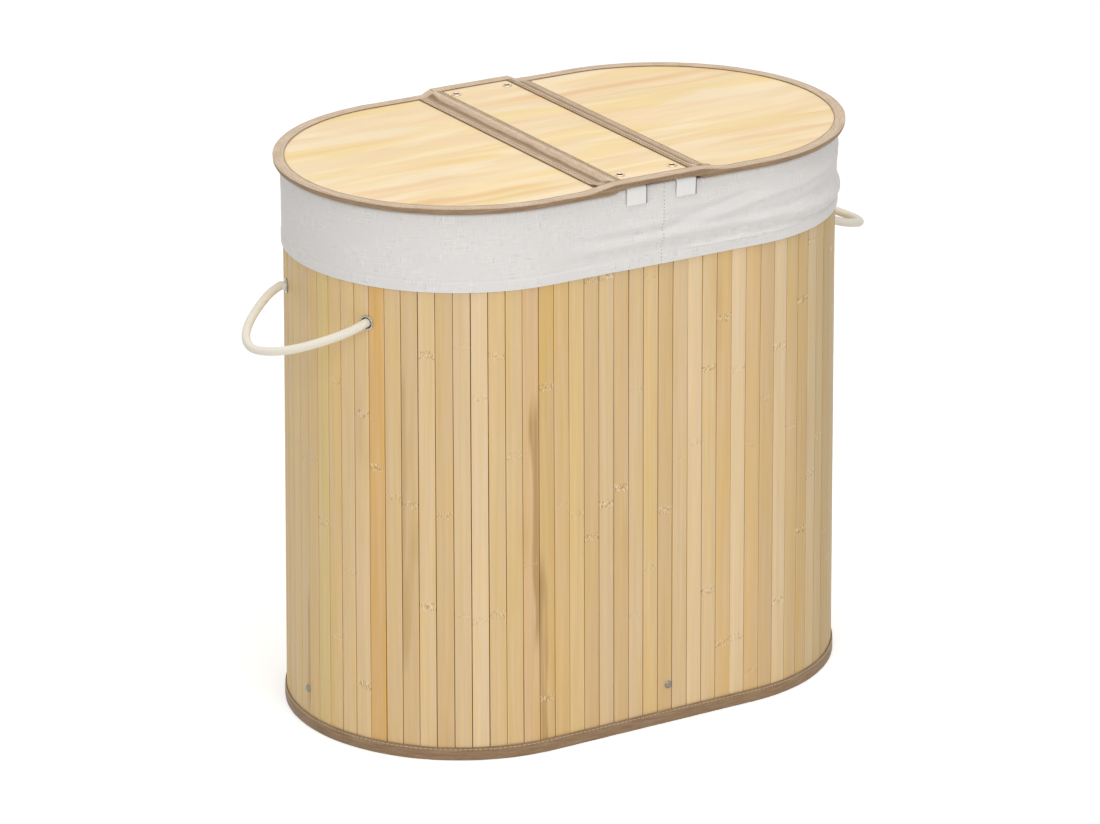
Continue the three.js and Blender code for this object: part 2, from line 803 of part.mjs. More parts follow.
for (const { end, side, other, turn } of bothHalves) {
  const half = new THREE.Group();
  half.rotation.z = turn;
  hamper.add(half);

  const rivetHole = rivetShank + gap;
  const frontPanel = cut(
    slatPanel(firstGap, frontSlats),
    wallDrill(wrapTurn, rivetHeight, rivetHole, wallThickness),
  );
  piece(half, `slat_wall_${side}`, frontPanel, 'bambooSlat');
  const endPanel = cut(
    slatPanel(firstGap - endSlats * slatPitch, endSlats),
    wallDrill(leftApex, rivetHeight, rivetHole, wallThickness),
    wallDrill(leftApex + eyeletToApex, eyeletHeight, eyeletBarrel + gap, wallThickness),
    wallDrill(leftApex - eyeletToApex, eyeletHeight, eyeletBarrel + gap, wallThickness),
  );
  piece(half, `slat_wall_${end}`, endPanel, 'bambooSlat');

  for (const [place, s] of [[side, wrapTurn], [end, leftApex]]) {
    piece(half, `base_tab_${place}`, baseTab(s), 'boardCloth');
    pieceOnWall(half, `base_rivet_${place}`, baseRivet(), 'darkRivet', s, rivetHeight);
  }

  for (const [place, s] of [[side, eyeletToApex], [side === 'front' ? 'back' : 'front', -eyeletToApex]]) {
    const name = `${end}_${place}`;
    pieceOnWall(half, `eyelet_${name}`, eyelet(), 'steelEyelet', leftApex + s, eyeletHeight);
    pieceOnWall(half, `rope_knot_${name}`, ropeEnd(), 'cottonRope', leftApex + s, eyeletHeight);
  }
  piece(half, `rope_handle_${end}`, handleLoop(), 'cottonRope');

  piece(half, `liner_bag_${end}`, bagHalf(), 'linerCotton');

  piece(half, `lid_panel_${end}`, lidPanel(), 'bambooBoard');
  piece(half, `lid_binding_${end}`, lidBinding(), 'bindingTape');
  piece(half, `hinge_tape_${end}_on_lid`, lidLeaf(), 'bindingTape');
  piece(half, `hinge_tape_${end}_on_band`, bandLeaf(), 'bindingTape');

  piece(half, `band_binding_${side}`, bandBinding(), 'bindingTape');
  for (const [place, x] of [[end, -bandRivetX], [other, bandRivetX]]) {
    const rivet = piece(half, `band_rivet_${side}_${place}`, bandRivet(), 'darkRivet');
    rivet.position.set(x, bandRivetToEdge - lidRadius, bandTop - panelTopBelowBinding);
    rivet.rotation.x = Math.PI / 2;
  }
  for (const [place, x] of [[end, strapShift - strapHalfSpread], [other, strapShift + strapHalfSpread]]) {
    piece(half, `band_strap_${side}_${place}`, bandStrap(x), 'whiteWebbing');
  }
}

export default hamper;
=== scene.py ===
"""The looks of a two-bin bamboo laundry hamper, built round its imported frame.

Lengths are in metres. The origin is on the floor under the middle of the hamper, with X along it
and Z up. A place on the oval wall is given by its way: the length along the wall's outer face from
the middle of the front towards the right end.
"""

import logging
import math
import random
from collections.abc import Callable, Iterator, Sequence
from contextlib import contextmanager
from dataclasses import dataclass
from enum import Enum
from functools import partial
from itertools import accumulate

import bmesh
import bpy
import numpy as np
from mathutils import Matrix, Vector, noise


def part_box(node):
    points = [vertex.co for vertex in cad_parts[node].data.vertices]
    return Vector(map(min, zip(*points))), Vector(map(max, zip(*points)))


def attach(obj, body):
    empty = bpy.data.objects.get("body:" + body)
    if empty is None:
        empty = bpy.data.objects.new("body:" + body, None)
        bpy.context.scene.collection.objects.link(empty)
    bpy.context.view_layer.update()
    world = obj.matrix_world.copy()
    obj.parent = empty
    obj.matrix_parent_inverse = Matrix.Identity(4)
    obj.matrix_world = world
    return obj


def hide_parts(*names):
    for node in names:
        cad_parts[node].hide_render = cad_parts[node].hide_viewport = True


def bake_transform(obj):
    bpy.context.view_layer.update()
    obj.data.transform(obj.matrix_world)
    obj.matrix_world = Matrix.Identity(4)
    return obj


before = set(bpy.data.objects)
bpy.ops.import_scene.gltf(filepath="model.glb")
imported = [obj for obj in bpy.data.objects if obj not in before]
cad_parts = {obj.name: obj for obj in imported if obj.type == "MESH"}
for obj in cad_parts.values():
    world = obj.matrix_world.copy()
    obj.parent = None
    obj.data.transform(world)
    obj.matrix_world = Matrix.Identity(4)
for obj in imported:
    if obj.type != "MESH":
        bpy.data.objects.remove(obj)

MM = 0.001
# points nearer than this are one point
MERGE = 0.01 * MM
HANDLE_HEIGHT = 464.5 * MM
STITCH_PITCH = 5.2 * MM
SOFT = {"interpolation_type": "SMOOTHSTEP"}
HALF_TURN = Matrix.Rotation(math.pi, 4, "Z")
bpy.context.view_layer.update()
BODY = "hamper_body"

Piece = bpy.types.Object
Node = bpy.types.Node
Material = bpy.types.Material
Rows = tuple[tuple[float, ...], ...]
Pair = tuple[np.ndarray, np.ndarray]
Adder = Callable[..., Node]

logging.basicConfig(level=logging.INFO, format="%(message)s")
log = logging.getLogger("hamper")


class Slot(Enum):
    """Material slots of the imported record."""

    SLAT = "bamboo_slat"
    TAPE = "binding_tape"
    COTTON = "liner_cotton"
    WEBBING = "white_webbing"
    ROPE = "cotton_rope"
    RIVET = "dark_rivet"
    EYELET = "steel_eyelet"


class Element(Enum):
    """What is selected in edit mode."""

    EDGES = "EDGE"
    FACES = "FACE"


class Move(Enum):
    """How a section is swept on: straight along X, or half round an end, forwards or backwards."""

    STRAIGHT = 0
    SPIN = -1
    UNSPIN = 1


def clear_selection() -> None:
    """Leaves edit mode and deselects every object."""
    if bpy.context.object is not None and bpy.context.object.mode != "OBJECT":
        bpy.ops.object.mode_set(mode="OBJECT")
    bpy.ops.object.select_all(action="DESELECT")


def make_active(piece: Piece) -> None:
    """Selects the piece alone and makes it active.

    Args:
        piece: The mesh object.
    """
    clear_selection()
    piece.select_set(True)
    bpy.context.view_layer.objects.active = piece


def started(adder: Callable[..., set[str]], name: str, **settings: object) -> Piece:
    """Adds a primitive with nothing else selected.

    Args:
        adder: The operator that adds it.
        name: The new piece's name.
        settings: The operator's settings.

    Returns:
        The new piece.
    """
    clear_selection()
    adder(**settings)
    piece = bpy.context.active_object
    piece.name = name
    piece.data.name = name
    return piece


@contextmanager
def editing(piece: Piece) -> Iterator[None]:
    """Opens the piece in edit mode, and closes it again.

    Args:
        piece: The mesh object to edit.
    """
    make_active(piece)
    bpy.ops.object.mode_set(mode="EDIT")
    yield
    bpy.ops.object.mode_set(mode="OBJECT")


def pick(piece: Piece, element: Element, test: Callable[[object], bool]) -> None:
    """Selects, in edit mode, only the elements that pass the test.

    Args:
        piece: The mesh object in edit mode.
        element: Which kind of element is selected.
        test: Says whether an element of the bmesh is wanted.
    """
    bpy.ops.mesh.select_mode(type=element.value)
    bpy.ops.mesh.select_all(action="DESELECT")
    mesh = bmesh.from_edit_mesh(piece.data)
    for item in getattr(mesh, element.name.lower()):
        if test(item):
            item.select_set(True)
    mesh.select_flush_mode()
    bmesh.update_edit_mesh(piece.data)


def with_modifier(piece: Piece, kind: str, **settings: object) -> None:
    """Adds a modifier with its settings and applies it.

    Args:
        piece: The mesh object.
        kind: Blender's name of the modifier's type.
        settings: The modifier's settings.
    """
    make_active(piece)
    modifier = piece.modifiers.new(kind.title(), kind)
    for setting, value in settings.items():
        setattr(modifier, setting, value)
    bpy.ops.object.modifier_apply(modifier=modifier.name)


def points_of(piece: Piece) -> np.ndarray:
    """Reads the mesh's points.

    Args:
        piece: The mesh object.

    Returns:
        One row for each point.
    """
    points = np.empty(len(piece.data.vertices) * 3)
    piece.data.vertices.foreach_get("co", points)
    return points.reshape(-1, 3)


def set_points(piece: Piece, points: np.ndarray) -> None:
    """Puts the mesh's points at these places."""
    piece.data.vertices.foreach_set("co", np.ascontiguousarray(points, dtype=np.float64).ravel())
    piece.data.update()


def set_ways(piece: Piece, ways: np.ndarray) -> None:
    """Gives the mesh a UV map named way, in metres.

    Args:
        piece: The mesh object.
        ways: The two lengths at each point, one row each.
    """
    mesh = piece.data
    for layer in list(mesh.uv_layers):
        mesh.uv_layers.remove(layer)
    layer = mesh.uv_layers.new(name="way")
    corners = np.empty(len(mesh.loops), dtype=np.int32)
    mesh.loops.foreach_get("vertex_index", corners)
    layer.data.foreach_set("uv", ways[corners].astype(np.float32).ravel())


def set_attribute(
    piece: Piece, name: str, values: Sequence[float] | np.ndarray, kind: str = "FLOAT",
) -> None:
    """Gives the mesh's points an attribute.

    Args:
        piece: The mesh object.
        name: The attribute's name.
        values: Each point's number, or the numbers of one value for them all.
        kind: Blender's name of its type.
    """
    field, width = {"FLOAT": ("value", 1), "FLOAT_VECTOR": ("vector", 3), "FLOAT_COLOR": ("color", 4)}[kind]
    numbers = np.resize(np.asarray(values, dtype=np.float32), len(piece.data.vertices) * width)
    piece.data.attributes.new(name, kind, "POINT").data.foreach_set(field, numbers)


def placed(name: str, data: bpy.types.ID) -> Piece:
    """Adds an object to the scene.

    Args:
        name: The object's name.
        data: Its mesh, lamp or camera.

    Returns:
        The new object.
    """
    made = bpy.data.objects.new(name, data)
    bpy.context.scene.collection.objects.link(made)
    return made


def copied(piece: Piece, name: str, place: Matrix) -> Piece:
    """Copies a piece with a mesh of its own, and puts its place in the mesh.

    Args:
        piece: The piece to copy.
        name: The copy's name.
        place: Where the copy goes.

    Returns:
        The copy.
    """
    copy = placed(name, piece.data.copy())
    copy.data.name = name
    copy.data.transform(place)
    return copy


def joined(parts: Sequence[Piece], name: str) -> Piece:
    """Joins meshes to one piece.

    Args:
        parts: The mesh objects.
        name: The joined piece's name.

    Returns:
        The joined piece.
    """
    clear_selection()
    for part in parts:
        part.select_set(True)
    bpy.context.view_layer.objects.active = parts[0]
    bpy.ops.object.join()
    parts[0].name = name
    parts[0].data.name = name
    return parts[0]


def removed(piece: Piece) -> None:
    """Takes a pattern piece away once its copies are made."""
    bpy.data.objects.remove(piece, do_unlink=True)


def smoothed(piece: Piece, degrees: float = 35) -> None:
    """Shades the piece smooth except over edges sharper than the angle."""
    make_active(piece)
    bpy.ops.object.shade_smooth_by_angle(angle=math.radians(degrees))


def recalculated(piece: Piece) -> None:
    """Merges doubled points and turns the closed mesh's faces outwards.

    Args:
        piece: The mesh object.
    """
    with editing(piece):
        bpy.ops.mesh.select_all(action="SELECT")
        bpy.ops.mesh.remove_doubles(threshold=MERGE)
        bpy.ops.mesh.dissolve_degenerate(threshold=MERGE / 2)
        bpy.ops.mesh.select_all(action="SELECT")
        bpy.ops.mesh.normals_make_consistent(inside=False)


def welded(piece: Piece) -> None:
    """Merges doubled points, where a sheet or a sweep meets its own start.

    Args:
        piece: The mesh object.
    """
    with editing(piece):
        bpy.ops.mesh.select_all(action="SELECT")
        bpy.ops.mesh.remove_doubles(threshold=MERGE)


def capped(piece: Piece, below: float = math.inf) -> None:
    """Closes each open end of the mesh that lies below a height with one face.

    Args:
        piece: The mesh object.
        below: The height.
    """
    with editing(piece):
        pick(piece, Element.EDGES, lambda edge: edge.is_boundary and edge.verts[0].co.z < below)
        bpy.ops.mesh.edge_face_add()


def drilled(piece: Piece, place: Matrix, radius: float) -> None:
    """Cuts a round hole through the piece.

    Args:
        piece: The mesh object.
        place: A frame with its Z along the hole.
        radius: The hole's radius.
    """
    drill = started(bpy.ops.mesh.primitive_cylinder_add, "drill", vertices=32, radius=radius, depth=20 * MM)
    drill.data.transform(place)
    with_modifier(piece, "BOOLEAN", operation="DIFFERENCE", object=drill, solver="EXACT")
    removed(drill)


def soft_noise(points: np.ndarray, scale: Sequence[float], seed: float) -> np.ndarray:
    """Gives smooth noise from minus one to one at each point.

    Args:
        points: One row for each point.
        scale: The noise's grain along each axis, in the points' units.
        seed: Where in the noise it is read.

    Returns:
        One number for each point.
    """
    grain = np.asarray(scale)
    return np.array([noise.noise(Vector(point / grain) + Vector((seed, seed, seed))) for point in points])


def hump(value: np.ndarray | float, middle: float, width: float) -> np.ndarray:
    """Gives a smooth hump: one at its middle, and about a third at its width from there."""
    return np.exp(-((value - middle) / width) ** 2)


def smooth_step(value: np.ndarray | float, low: float, high: float) -> np.ndarray:
    """Rises smoothly from nought at low to one at high."""
    t = np.clip((np.asarray(value, dtype=float) - low) / (high - low), 0, 1)
    return t * t * (3 - 2 * t)


def lengths_along(line: np.ndarray) -> np.ndarray:
    """Returns the length along a line up to each of its points."""
    return np.concatenate([[0], np.cumsum(np.linalg.norm(np.diff(line, axis=0), axis=1))])


def seam_lengths(points: Sequence[Vector]) -> list[float]:
    """Returns the length along a seam or a strap up to each of its points."""
    return [0.0, *accumulate((after - before).length for before, after in zip(points, points[1:]))]


def sheet_grid(
    name: str, columns: int, rows: int, place: Callable[[np.ndarray, np.ndarray], Pair], closed: bool = False,
) -> Piece:
    """Bends a grid to a sheet.

    Args:
        name: The sheet's name.
        columns: Steps along the sheet.
        rows: Steps across it.
        place: Gives, for shares along and across, the points and their ways in metres.
        closed: Whether the sheet's two ends meet.

    Returns:
        The sheet, without thickness.
    """
    piece = started(bpy.ops.mesh.primitive_grid_add, name, x_subdivisions=columns, y_subdivisions=rows, size=1)
    flat = points_of(piece) + 0.5
    points, ways = place(flat[:, 0], flat[:, 1])
    set_points(piece, points)
    set_ways(piece, ways)
    if closed:
        welded(piece)
    return piece


def spun(name: str, profile: Sequence[tuple[float, float]], steps: int) -> Piece:
    """Spins a closed outline round Z.

    Args:
        name: The piece's name.
        profile: The outline's points, each a radius and a height.
        steps: Steps round the axis.

    Returns:
        The turned piece.
    """
    piece = started(bpy.ops.mesh.primitive_circle_add, name, vertices=len(profile), fill_type="NOTHING")
    set_points(piece, np.array([(radius, 0, height) for radius, height in profile]))
    with editing(piece):
        bpy.ops.mesh.select_all(action="SELECT")
        bpy.ops.mesh.spin(steps=steps, angle=2 * math.pi, center=(0, 0, 0), axis=(0, 0, 1))
    recalculated(piece)
    return piece


def finished(
    piece: Piece, material: Material, body: str | None, replaces: Sequence[str] = (),
) -> None:
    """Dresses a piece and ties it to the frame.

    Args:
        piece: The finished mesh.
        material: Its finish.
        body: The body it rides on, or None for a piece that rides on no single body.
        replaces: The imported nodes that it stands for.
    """
    piece.data.materials.clear()
    piece.data.materials.append(material)
    if body is not None:
        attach(piece, body)
    if replaces:
        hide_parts(*replaces)
    log.info("%s: %d faces", piece.name, len(piece.data.polygons))


def srgb(colour: str) -> tuple[float, float, float, float]:
    """Turns an sRGB hex colour to linear numbers with full alpha.

    Args:
        colour: Six hex digits.

    Returns:
        Red, green, blue and alpha.
    """
    parts = [int(colour[i:i + 2], 16) / 255 for i in (0, 2, 4)]
    linear = [part / 12.92 if part <= 0.04045 else ((part + 0.055) / 1.055) ** 2.4 for part in parts]
    return (*linear, 1.0)


def add_node(
    tree: bpy.types.NodeTree, kind: str, inputs: Sequence[object] | dict[str, object] = (), **settings: object,
) -> Node:
    """Adds a node with its settings, and sets or links its inputs.

    Args:
        tree: The node tree.
        kind: The node's type, without the words ShaderNode before it.
        inputs: What goes into the inputs, in their order or by identifier or name: a value, a socket
            or a node whose first working output is taken.
        settings: The node's own settings.

    Returns:
        The new node.
    """
    made = tree.nodes.new(f"ShaderNode{kind}")
    for setting, value in settings.items():
        setattr(made, setting, value)
    for key, value in inputs.items() if isinstance(inputs, dict) else enumerate(inputs):
        socket = made.inputs[key] if isinstance(key, int) else next(
            s for s in made.inputs if key in (s.identifier, s.name) and s.enabled)
        if isinstance(value, Node):
            value = next(s for s in value.outputs if s.enabled)
        if isinstance(value, bpy.types.NodeSocket):
            tree.links.new(value, socket)
        else:
            socket.default_value = value
    return made


def empty_tree(owner: Material | bpy.types.World) -> Adder:
    """Empties a node tree.

    Args:
        owner: The material or the world.

    Returns:
        The function that adds a node to the tree.
    """
    owner.use_nodes = True
    owner.node_tree.nodes.clear()
    return partial(add_node, owner.node_tree)


class Finish:
    """A finish that builds one material, whose tree starts empty but for its output."""

    title = "finish"

    def paint(self, node: Adder) -> Node:
        """Adds the finish's nodes and returns its shader."""
        raise NotImplementedError

    def material(self) -> Material:
        """Builds the material.

        Returns:
            The material.
        """
        material = bpy.data.materials.new(self.title)
        node = empty_tree(material)
        node("OutputMaterial", {"Surface": self.paint(node)})
        return material


def shaded_needle_holes(
    node: Adder, colour: Node, across: bpy.types.NodeSocket, along: bpy.types.NodeSocket,
    rows: Sequence[float], pitch: float, radius: float, shade: str,
) -> Node:
    """Paints shade into rows of needle holes in a cloth, as dark dots.

    Args:
        node: Adds a node to the material.
        colour: The cloth's colour so far.
        across: The way across the rows.
        along: The way along them.
        rows: Where the rows are.
        pitch: The length from one hole to the next.
        radius: A hole's radius.
        shade: The colour in the holes.

    Returns:
        The colour with the painted shade in the holes.
    """
    nearest = None
    for row in rows:
        off = node("Math", (node("Math", (across, row), operation="SUBTRACT"),), operation="ABSOLUTE")
        nearest = off if nearest is None else node("Math", (nearest, off), operation="MINIMUM")
    step = node("Math", (along, pitch / 2), operation="PINGPONG")
    far = node("VectorMath", (node("CombineXYZ", (nearest, step, 0.0)),), operation="LENGTH").outputs["Value"]
    hole = node("MapRange", (far, radius * 0.6, radius * 1.3, 0.8, 0), **SOFT)
    return node("Mix", {"Factor_Float": hole, "A_Color": colour, "B_Color": srgb(shade)}, data_type="RGBA")


@dataclass(frozen=True)
class BambooSlatFinish(Finish):
    """Split bamboo, planed flat and lightly lacquered, with its fibres up the slat.

    It gives a soft satin sheen over straight fine fibres. Each slat has its own colour and soft bands;
    the slats that face away from the light and those at the left outline carry painted shade, and every
    slat a painted highlight along its long edges.
    At the heights where the cane had its joints a few short pale and dark dashes cross it, and some
    slats have a brown streak up one side. The fibres and the dashes are drawn twice as coarse as the
    real ones, to show at all.
    """

    title: str = "planed_bamboo_slat"
    fibre: tuple[float, float] = (0.8 * MM, 55 * MM)
    band: tuple[float, float] = (3.6 * MM, 210 * MM)
    blotch: tuple[float, float] = (9 * MM, 130 * MM)
    dash: tuple[float, float] = (1.0 * MM, 3.4 * MM)
    stain_size: tuple[float, float, float] = (45 * MM, 45 * MM, 280 * MM)
    # the width of the painted highlight along each long edge
    edge: float = 0.9 * MM
    slat_half: float = 8.45 * MM
    joint_half: tuple[float, float] = (2.6 * MM, 5.6 * MM)
    joint_wobble: float = 2.4 * MM
    streak_drift: float = 4.0 * MM
    streak_end: float = 20 * MM
    streak_top: float = 45 * MM
    joint_colour: str = "9a7040"
    pale_colour: str = "f8e6c6"
    streak_colour: str = "b58f5a"
    stain_colour: str = "c49c66"

    def paint(self, node: Adder) -> Node:
        """Adds the bamboo's nodes.

        Args:
            node: Adds a node to the tree.

        Returns:
            The shader.
        """
        way = node("SeparateXYZ", (node("UVMap", uv_map="way"),)).outputs
        across, up = way[0], way[1]
        seed, mark = (node("Attribute", attribute_name=name).outputs["Fac"] for name in ("seed", "mark"))
        # each slat's colour, with the painted shade of its place multiplied in
        tone = node("Attribute", attribute_name="tone").outputs["Color"]
        joints, streak = (node("SeparateXYZ", (node("Attribute", attribute_name=name).outputs["Vector"],)).outputs
                          for name in ("joints", "streak"))
        layer = node("Math", (seed, 61.0), operation="MULTIPLY")

        def grain(size: tuple[float, float], shift: float, detail: float) -> Node:
            """Adds noise with that grain.

            Args:
                size: The grain across and up the slat.
                shift: Where in the noise it is read.
                detail: How fine its detail is.

            Returns:
                The noise.
            """
            x = node("Math", (across, size[0]), operation="DIVIDE")
            y = node("Math", (up, size[1]), operation="DIVIDE")
            z = node("Math", (layer, shift), operation="ADD")
            place = node("CombineXYZ", (x, y, z))
            return node("TexNoise", {"Vector": place, "Scale": 1.0, "Detail": detail, "Roughness": 0.6})

        fibres = grain(self.fibre, 0.0, 2.0)
        bands = grain(self.band, 11.0, 1.0)
        blotches = grain(self.blotch, 23.0, 1.0)
        dashes = grain(self.dash, 37.0, 1.0)

        wobble = node("MapRange", (bands, 0.0, 1.0, -self.joint_wobble, self.joint_wobble))
        level = node("Math", (up, wobble), operation="ADD")
        nearest = None
        for height in joints:
            off = node("Math", (node("Math", (level, height), operation="SUBTRACT"),), operation="ABSOLUTE")
            nearest = off if nearest is None else node("Math", (nearest, off), operation="MINIMUM")
        near = node("MapRange", (nearest, *self.joint_half, 1, 0), **SOFT)
        zone = node("Math", (near, mark), operation="MULTIPLY")
        dark = node("MapRange", (dashes, 0.54, 0.66, 0, 0.7), **SOFT)
        pale = node("MapRange", (dashes, 0.34, 0.46, 0.75, 0), **SOFT)
        dark_dashes, pale_dashes = (node("Math", (zone, part), operation="MULTIPLY") for part in (dark, pale))

        fine = node("MapRange", (fibres, 0.25, 0.75, -0.035, 0.035))
        broad = node("MapRange", (bands, 0.25, 0.75, 0.955, 1.045))
        value = node("Math", (fine, broad), operation="ADD")
        # a painted highlight, up to six percent lighter, along the slat's two long edges
        off_middle = node("Math", (across,), operation="ABSOLUTE")
        arris_highlight = node("MapRange", (off_middle, self.slat_half - self.edge, self.slat_half, 1, 1.06), **SOFT)
        value = node("Math", (value, arris_highlight), operation="MULTIPLY")
        hue = node("MapRange", (blotches, 0.3, 0.7, 0.4975, 0.5025))
        strength = node("MapRange", (blotches, 0.3, 0.7, 0.94, 1.08))
        colour = node("HueSaturation", {"Hue": hue, "Saturation": strength, "Value": value, "Color": tone})

        place = node("TexCoord").outputs["Object"]
        stretch = node("Mapping", {"Vector": place, "Scale": tuple(1 / size for size in self.stain_size)})
        stain = node("TexNoise", {"Vector": stretch, "Scale": 1.0, "Detail": 2.0, "Roughness": 0.55})
        drift = node("MapRange", (blotches, 0.3, 0.7, -self.streak_drift, self.streak_drift))
        aside = node("Math", (node("Math", (across, streak[0]), operation="MULTIPLY"), drift), operation="ADD")
        above = node("Math", (up, streak[1]), operation="SUBTRACT")
        below = node("Math", (streak[2], up), operation="SUBTRACT")
        streaked = node("MapRange", (aside, -2.0 * MM, 3.0 * MM, 0, 0.8), **SOFT)
        for part in (
            node("Math", (streak[0],), operation="ABSOLUTE"),
            node("MapRange", (above, -self.streak_end, self.streak_end, 0, 1), **SOFT),
            node("MapRange", (below, 0, self.streak_top, 0, 1), **SOFT),
            node("MapRange", (bands, 0.3, 0.6, 0.5, 1), **SOFT),
        ):
            streaked = node("Math", (streaked, part), operation="MULTIPLY")
        stained = node("MapRange", (stain, 0.60, 0.76, 0, 0.3), **SOFT)
        for factor, tint in (
            (stained, self.stain_colour), (streaked, self.streak_colour), (pale_dashes, self.pale_colour),
            (dark_dashes, self.joint_colour),
        ):
            colour = node("Mix", {"Factor_Float": factor, "A_Color": colour, "B_Color": srgb(tint)},
                          data_type="RGBA")

        relief = node("Math", (zone, dashes, fibres), operation="MULTIPLY_ADD")
        bump = node("Bump", {"Strength": 0.3, "Distance": 0.2 * MM, "Height": relief})
        rough = node("MapRange", (fibres, 0, 1, 0.42, 0.62))
        return node("BsdfPrincipled", {"Base Color": colour, "Roughness": rough, "Normal": bump, "IOR": 1.5,
                                       "Specular IOR Level": 0.35})


@dataclass(frozen=True)
class BambooBoardFinish(Finish):
    """Thin bamboo veneer board, sanded and sealed, with long soft streaks along X.

    It gives a smooth, nearly matte face with clouds of pink, yellow and cream. A few streaks are broad
    and orange, where the cut met the cane's wall, and the rest are faint. Its fibres are drawn about
    twice as coarse as the real ones.
    """

    title: str = "sealed_bamboo_veneer"
    base: str = "f4dbb0"
    orange: str = "e8bd84"
    line: str = "d8a971"
    # a cloud's shade, its length and width in metres, its place in the noise, its range and its strength
    clouds: tuple[tuple[str, float, float, float, float, float, float], ...] = (
        ("f2d3a6", 0.20, 0.034, 1.3, 0.38, 0.64, 0.9), ("f3d796", 0.28, 0.046, 4.1, 0.42, 0.64, 0.8),
        ("f8e4c0", 0.15, 0.026, 6.4, 0.46, 0.68, 0.75), ("e8bd84", 0.16, 0.017, 8.6, 0.58, 0.78, 0.3),
    )
    # across (Y) to the streak's middle, its half width, where it is along X, its half length, its strength
    streaks: Rows = (
        (-0.128, 0.011, -0.20, 0.16, 0.75), (-0.150, 0.006, -0.14, 0.12, 0.55), (0.118, 0.010, 0.13, 0.17, 0.8),
        (0.090, 0.005, 0.20, 0.14, 0.45), (-0.112, 0.006, 0.21, 0.14, 0.55), (0.045, 0.007, -0.03, 0.08, 0.35),
        (-0.070, 0.007, -0.19, 0.13, 0.35), (0.075, 0.008, -0.21, 0.12, 0.4), (-0.030, 0.005, 0.16, 0.15, 0.3),
    )
    bend: float = 16 * MM

    def paint(self, node: Adder) -> Node:
        """Adds the veneer's nodes.

        Args:
            node: Adds a node to the tree.

        Returns:
            The shader.
        """
        place = node("TexCoord").outputs["Object"]

        def drawn_out(length: float, width: float, shift: float, detail: float) -> Node:
            """Adds noise drawn out along X.

            Args:
                length: The grain along X.
                width: The grain along Y.
                shift: Where in the noise it is read.
                detail: How fine its detail is.

            Returns:
                The noise.
            """
            vector = node("Mapping", {"Vector": place, "Location": (0, 0, shift),
                                      "Scale": (1 / length, 1 / width, 1.0)})
            return node("TexNoise", {"Vector": vector, "Scale": 1.0, "Detail": detail, "Roughness": 0.55,
                                     "Distortion": 0.5})

        colour = srgb(self.base)
        for shade, length, width, shift, low, high, most in self.clouds:
            factor = node("MapRange", (drawn_out(length, width, shift, 1.0), low, high, 0, most), **SOFT)
            colour = node("Mix", {"Factor_Float": factor, "A_Color": colour, "B_Color": srgb(shade)},
                          data_type="RGBA")
        fibres = drawn_out(0.09, 1.4 * MM, 13.0, 2.0)
        wander = drawn_out(0.16, 0.05, 17.0, 1.0)
        x, y, _ = node("SeparateXYZ", (place,)).outputs
        across = node("Math", (y, node("MapRange", (wander, 0, 1, -self.bend, self.bend))), operation="ADD")
        for middle, half_width, along, half_length, factor in self.streaks:
            for axis, at, half in ((across, middle, half_width), (x, along, half_length)):
                off = node("Math", (node("Math", (axis, at), operation="SUBTRACT"),), operation="ABSOLUTE")
                inside = node("MapRange", (off, half * 0.1, half * 1.3, 1, 0), **SOFT)
                factor = node("Math", (inside, factor), operation="MULTIPLY")
            colour = node("Mix", {"Factor_Float": factor, "A_Color": colour, "B_Color": srgb(self.orange)},
                          data_type="RGBA")
        lines = node("MapRange", (drawn_out(0.07, 3.4 * MM, 21.0, 1.0), 0.58, 0.80, 0, 0.15), **SOFT)
        colour = node("Mix", {"Factor_Float": lines, "A_Color": colour, "B_Color": srgb(self.line)},
                      data_type="RGBA")
        fine = node("MapRange", (fibres, 0.3, 0.7, -0.01, 0.01))
        broad = node("MapRange", (wander, 0.35, 0.65, 0.97, 1.025))
        value = node("Math", (fine, broad), operation="ADD")
        colour = node("HueSaturation", {"Value": value, "Color": colour})
        bump = node("Bump", {"Strength": 0.12, "Distance": 0.15 * MM, "Height": fibres})
        return node("BsdfPrincipled", {"Base Color": colour, "Roughness": 0.5, "Normal": bump, "IOR": 1.48,
                                       "Specular IOR Level": 0.35})


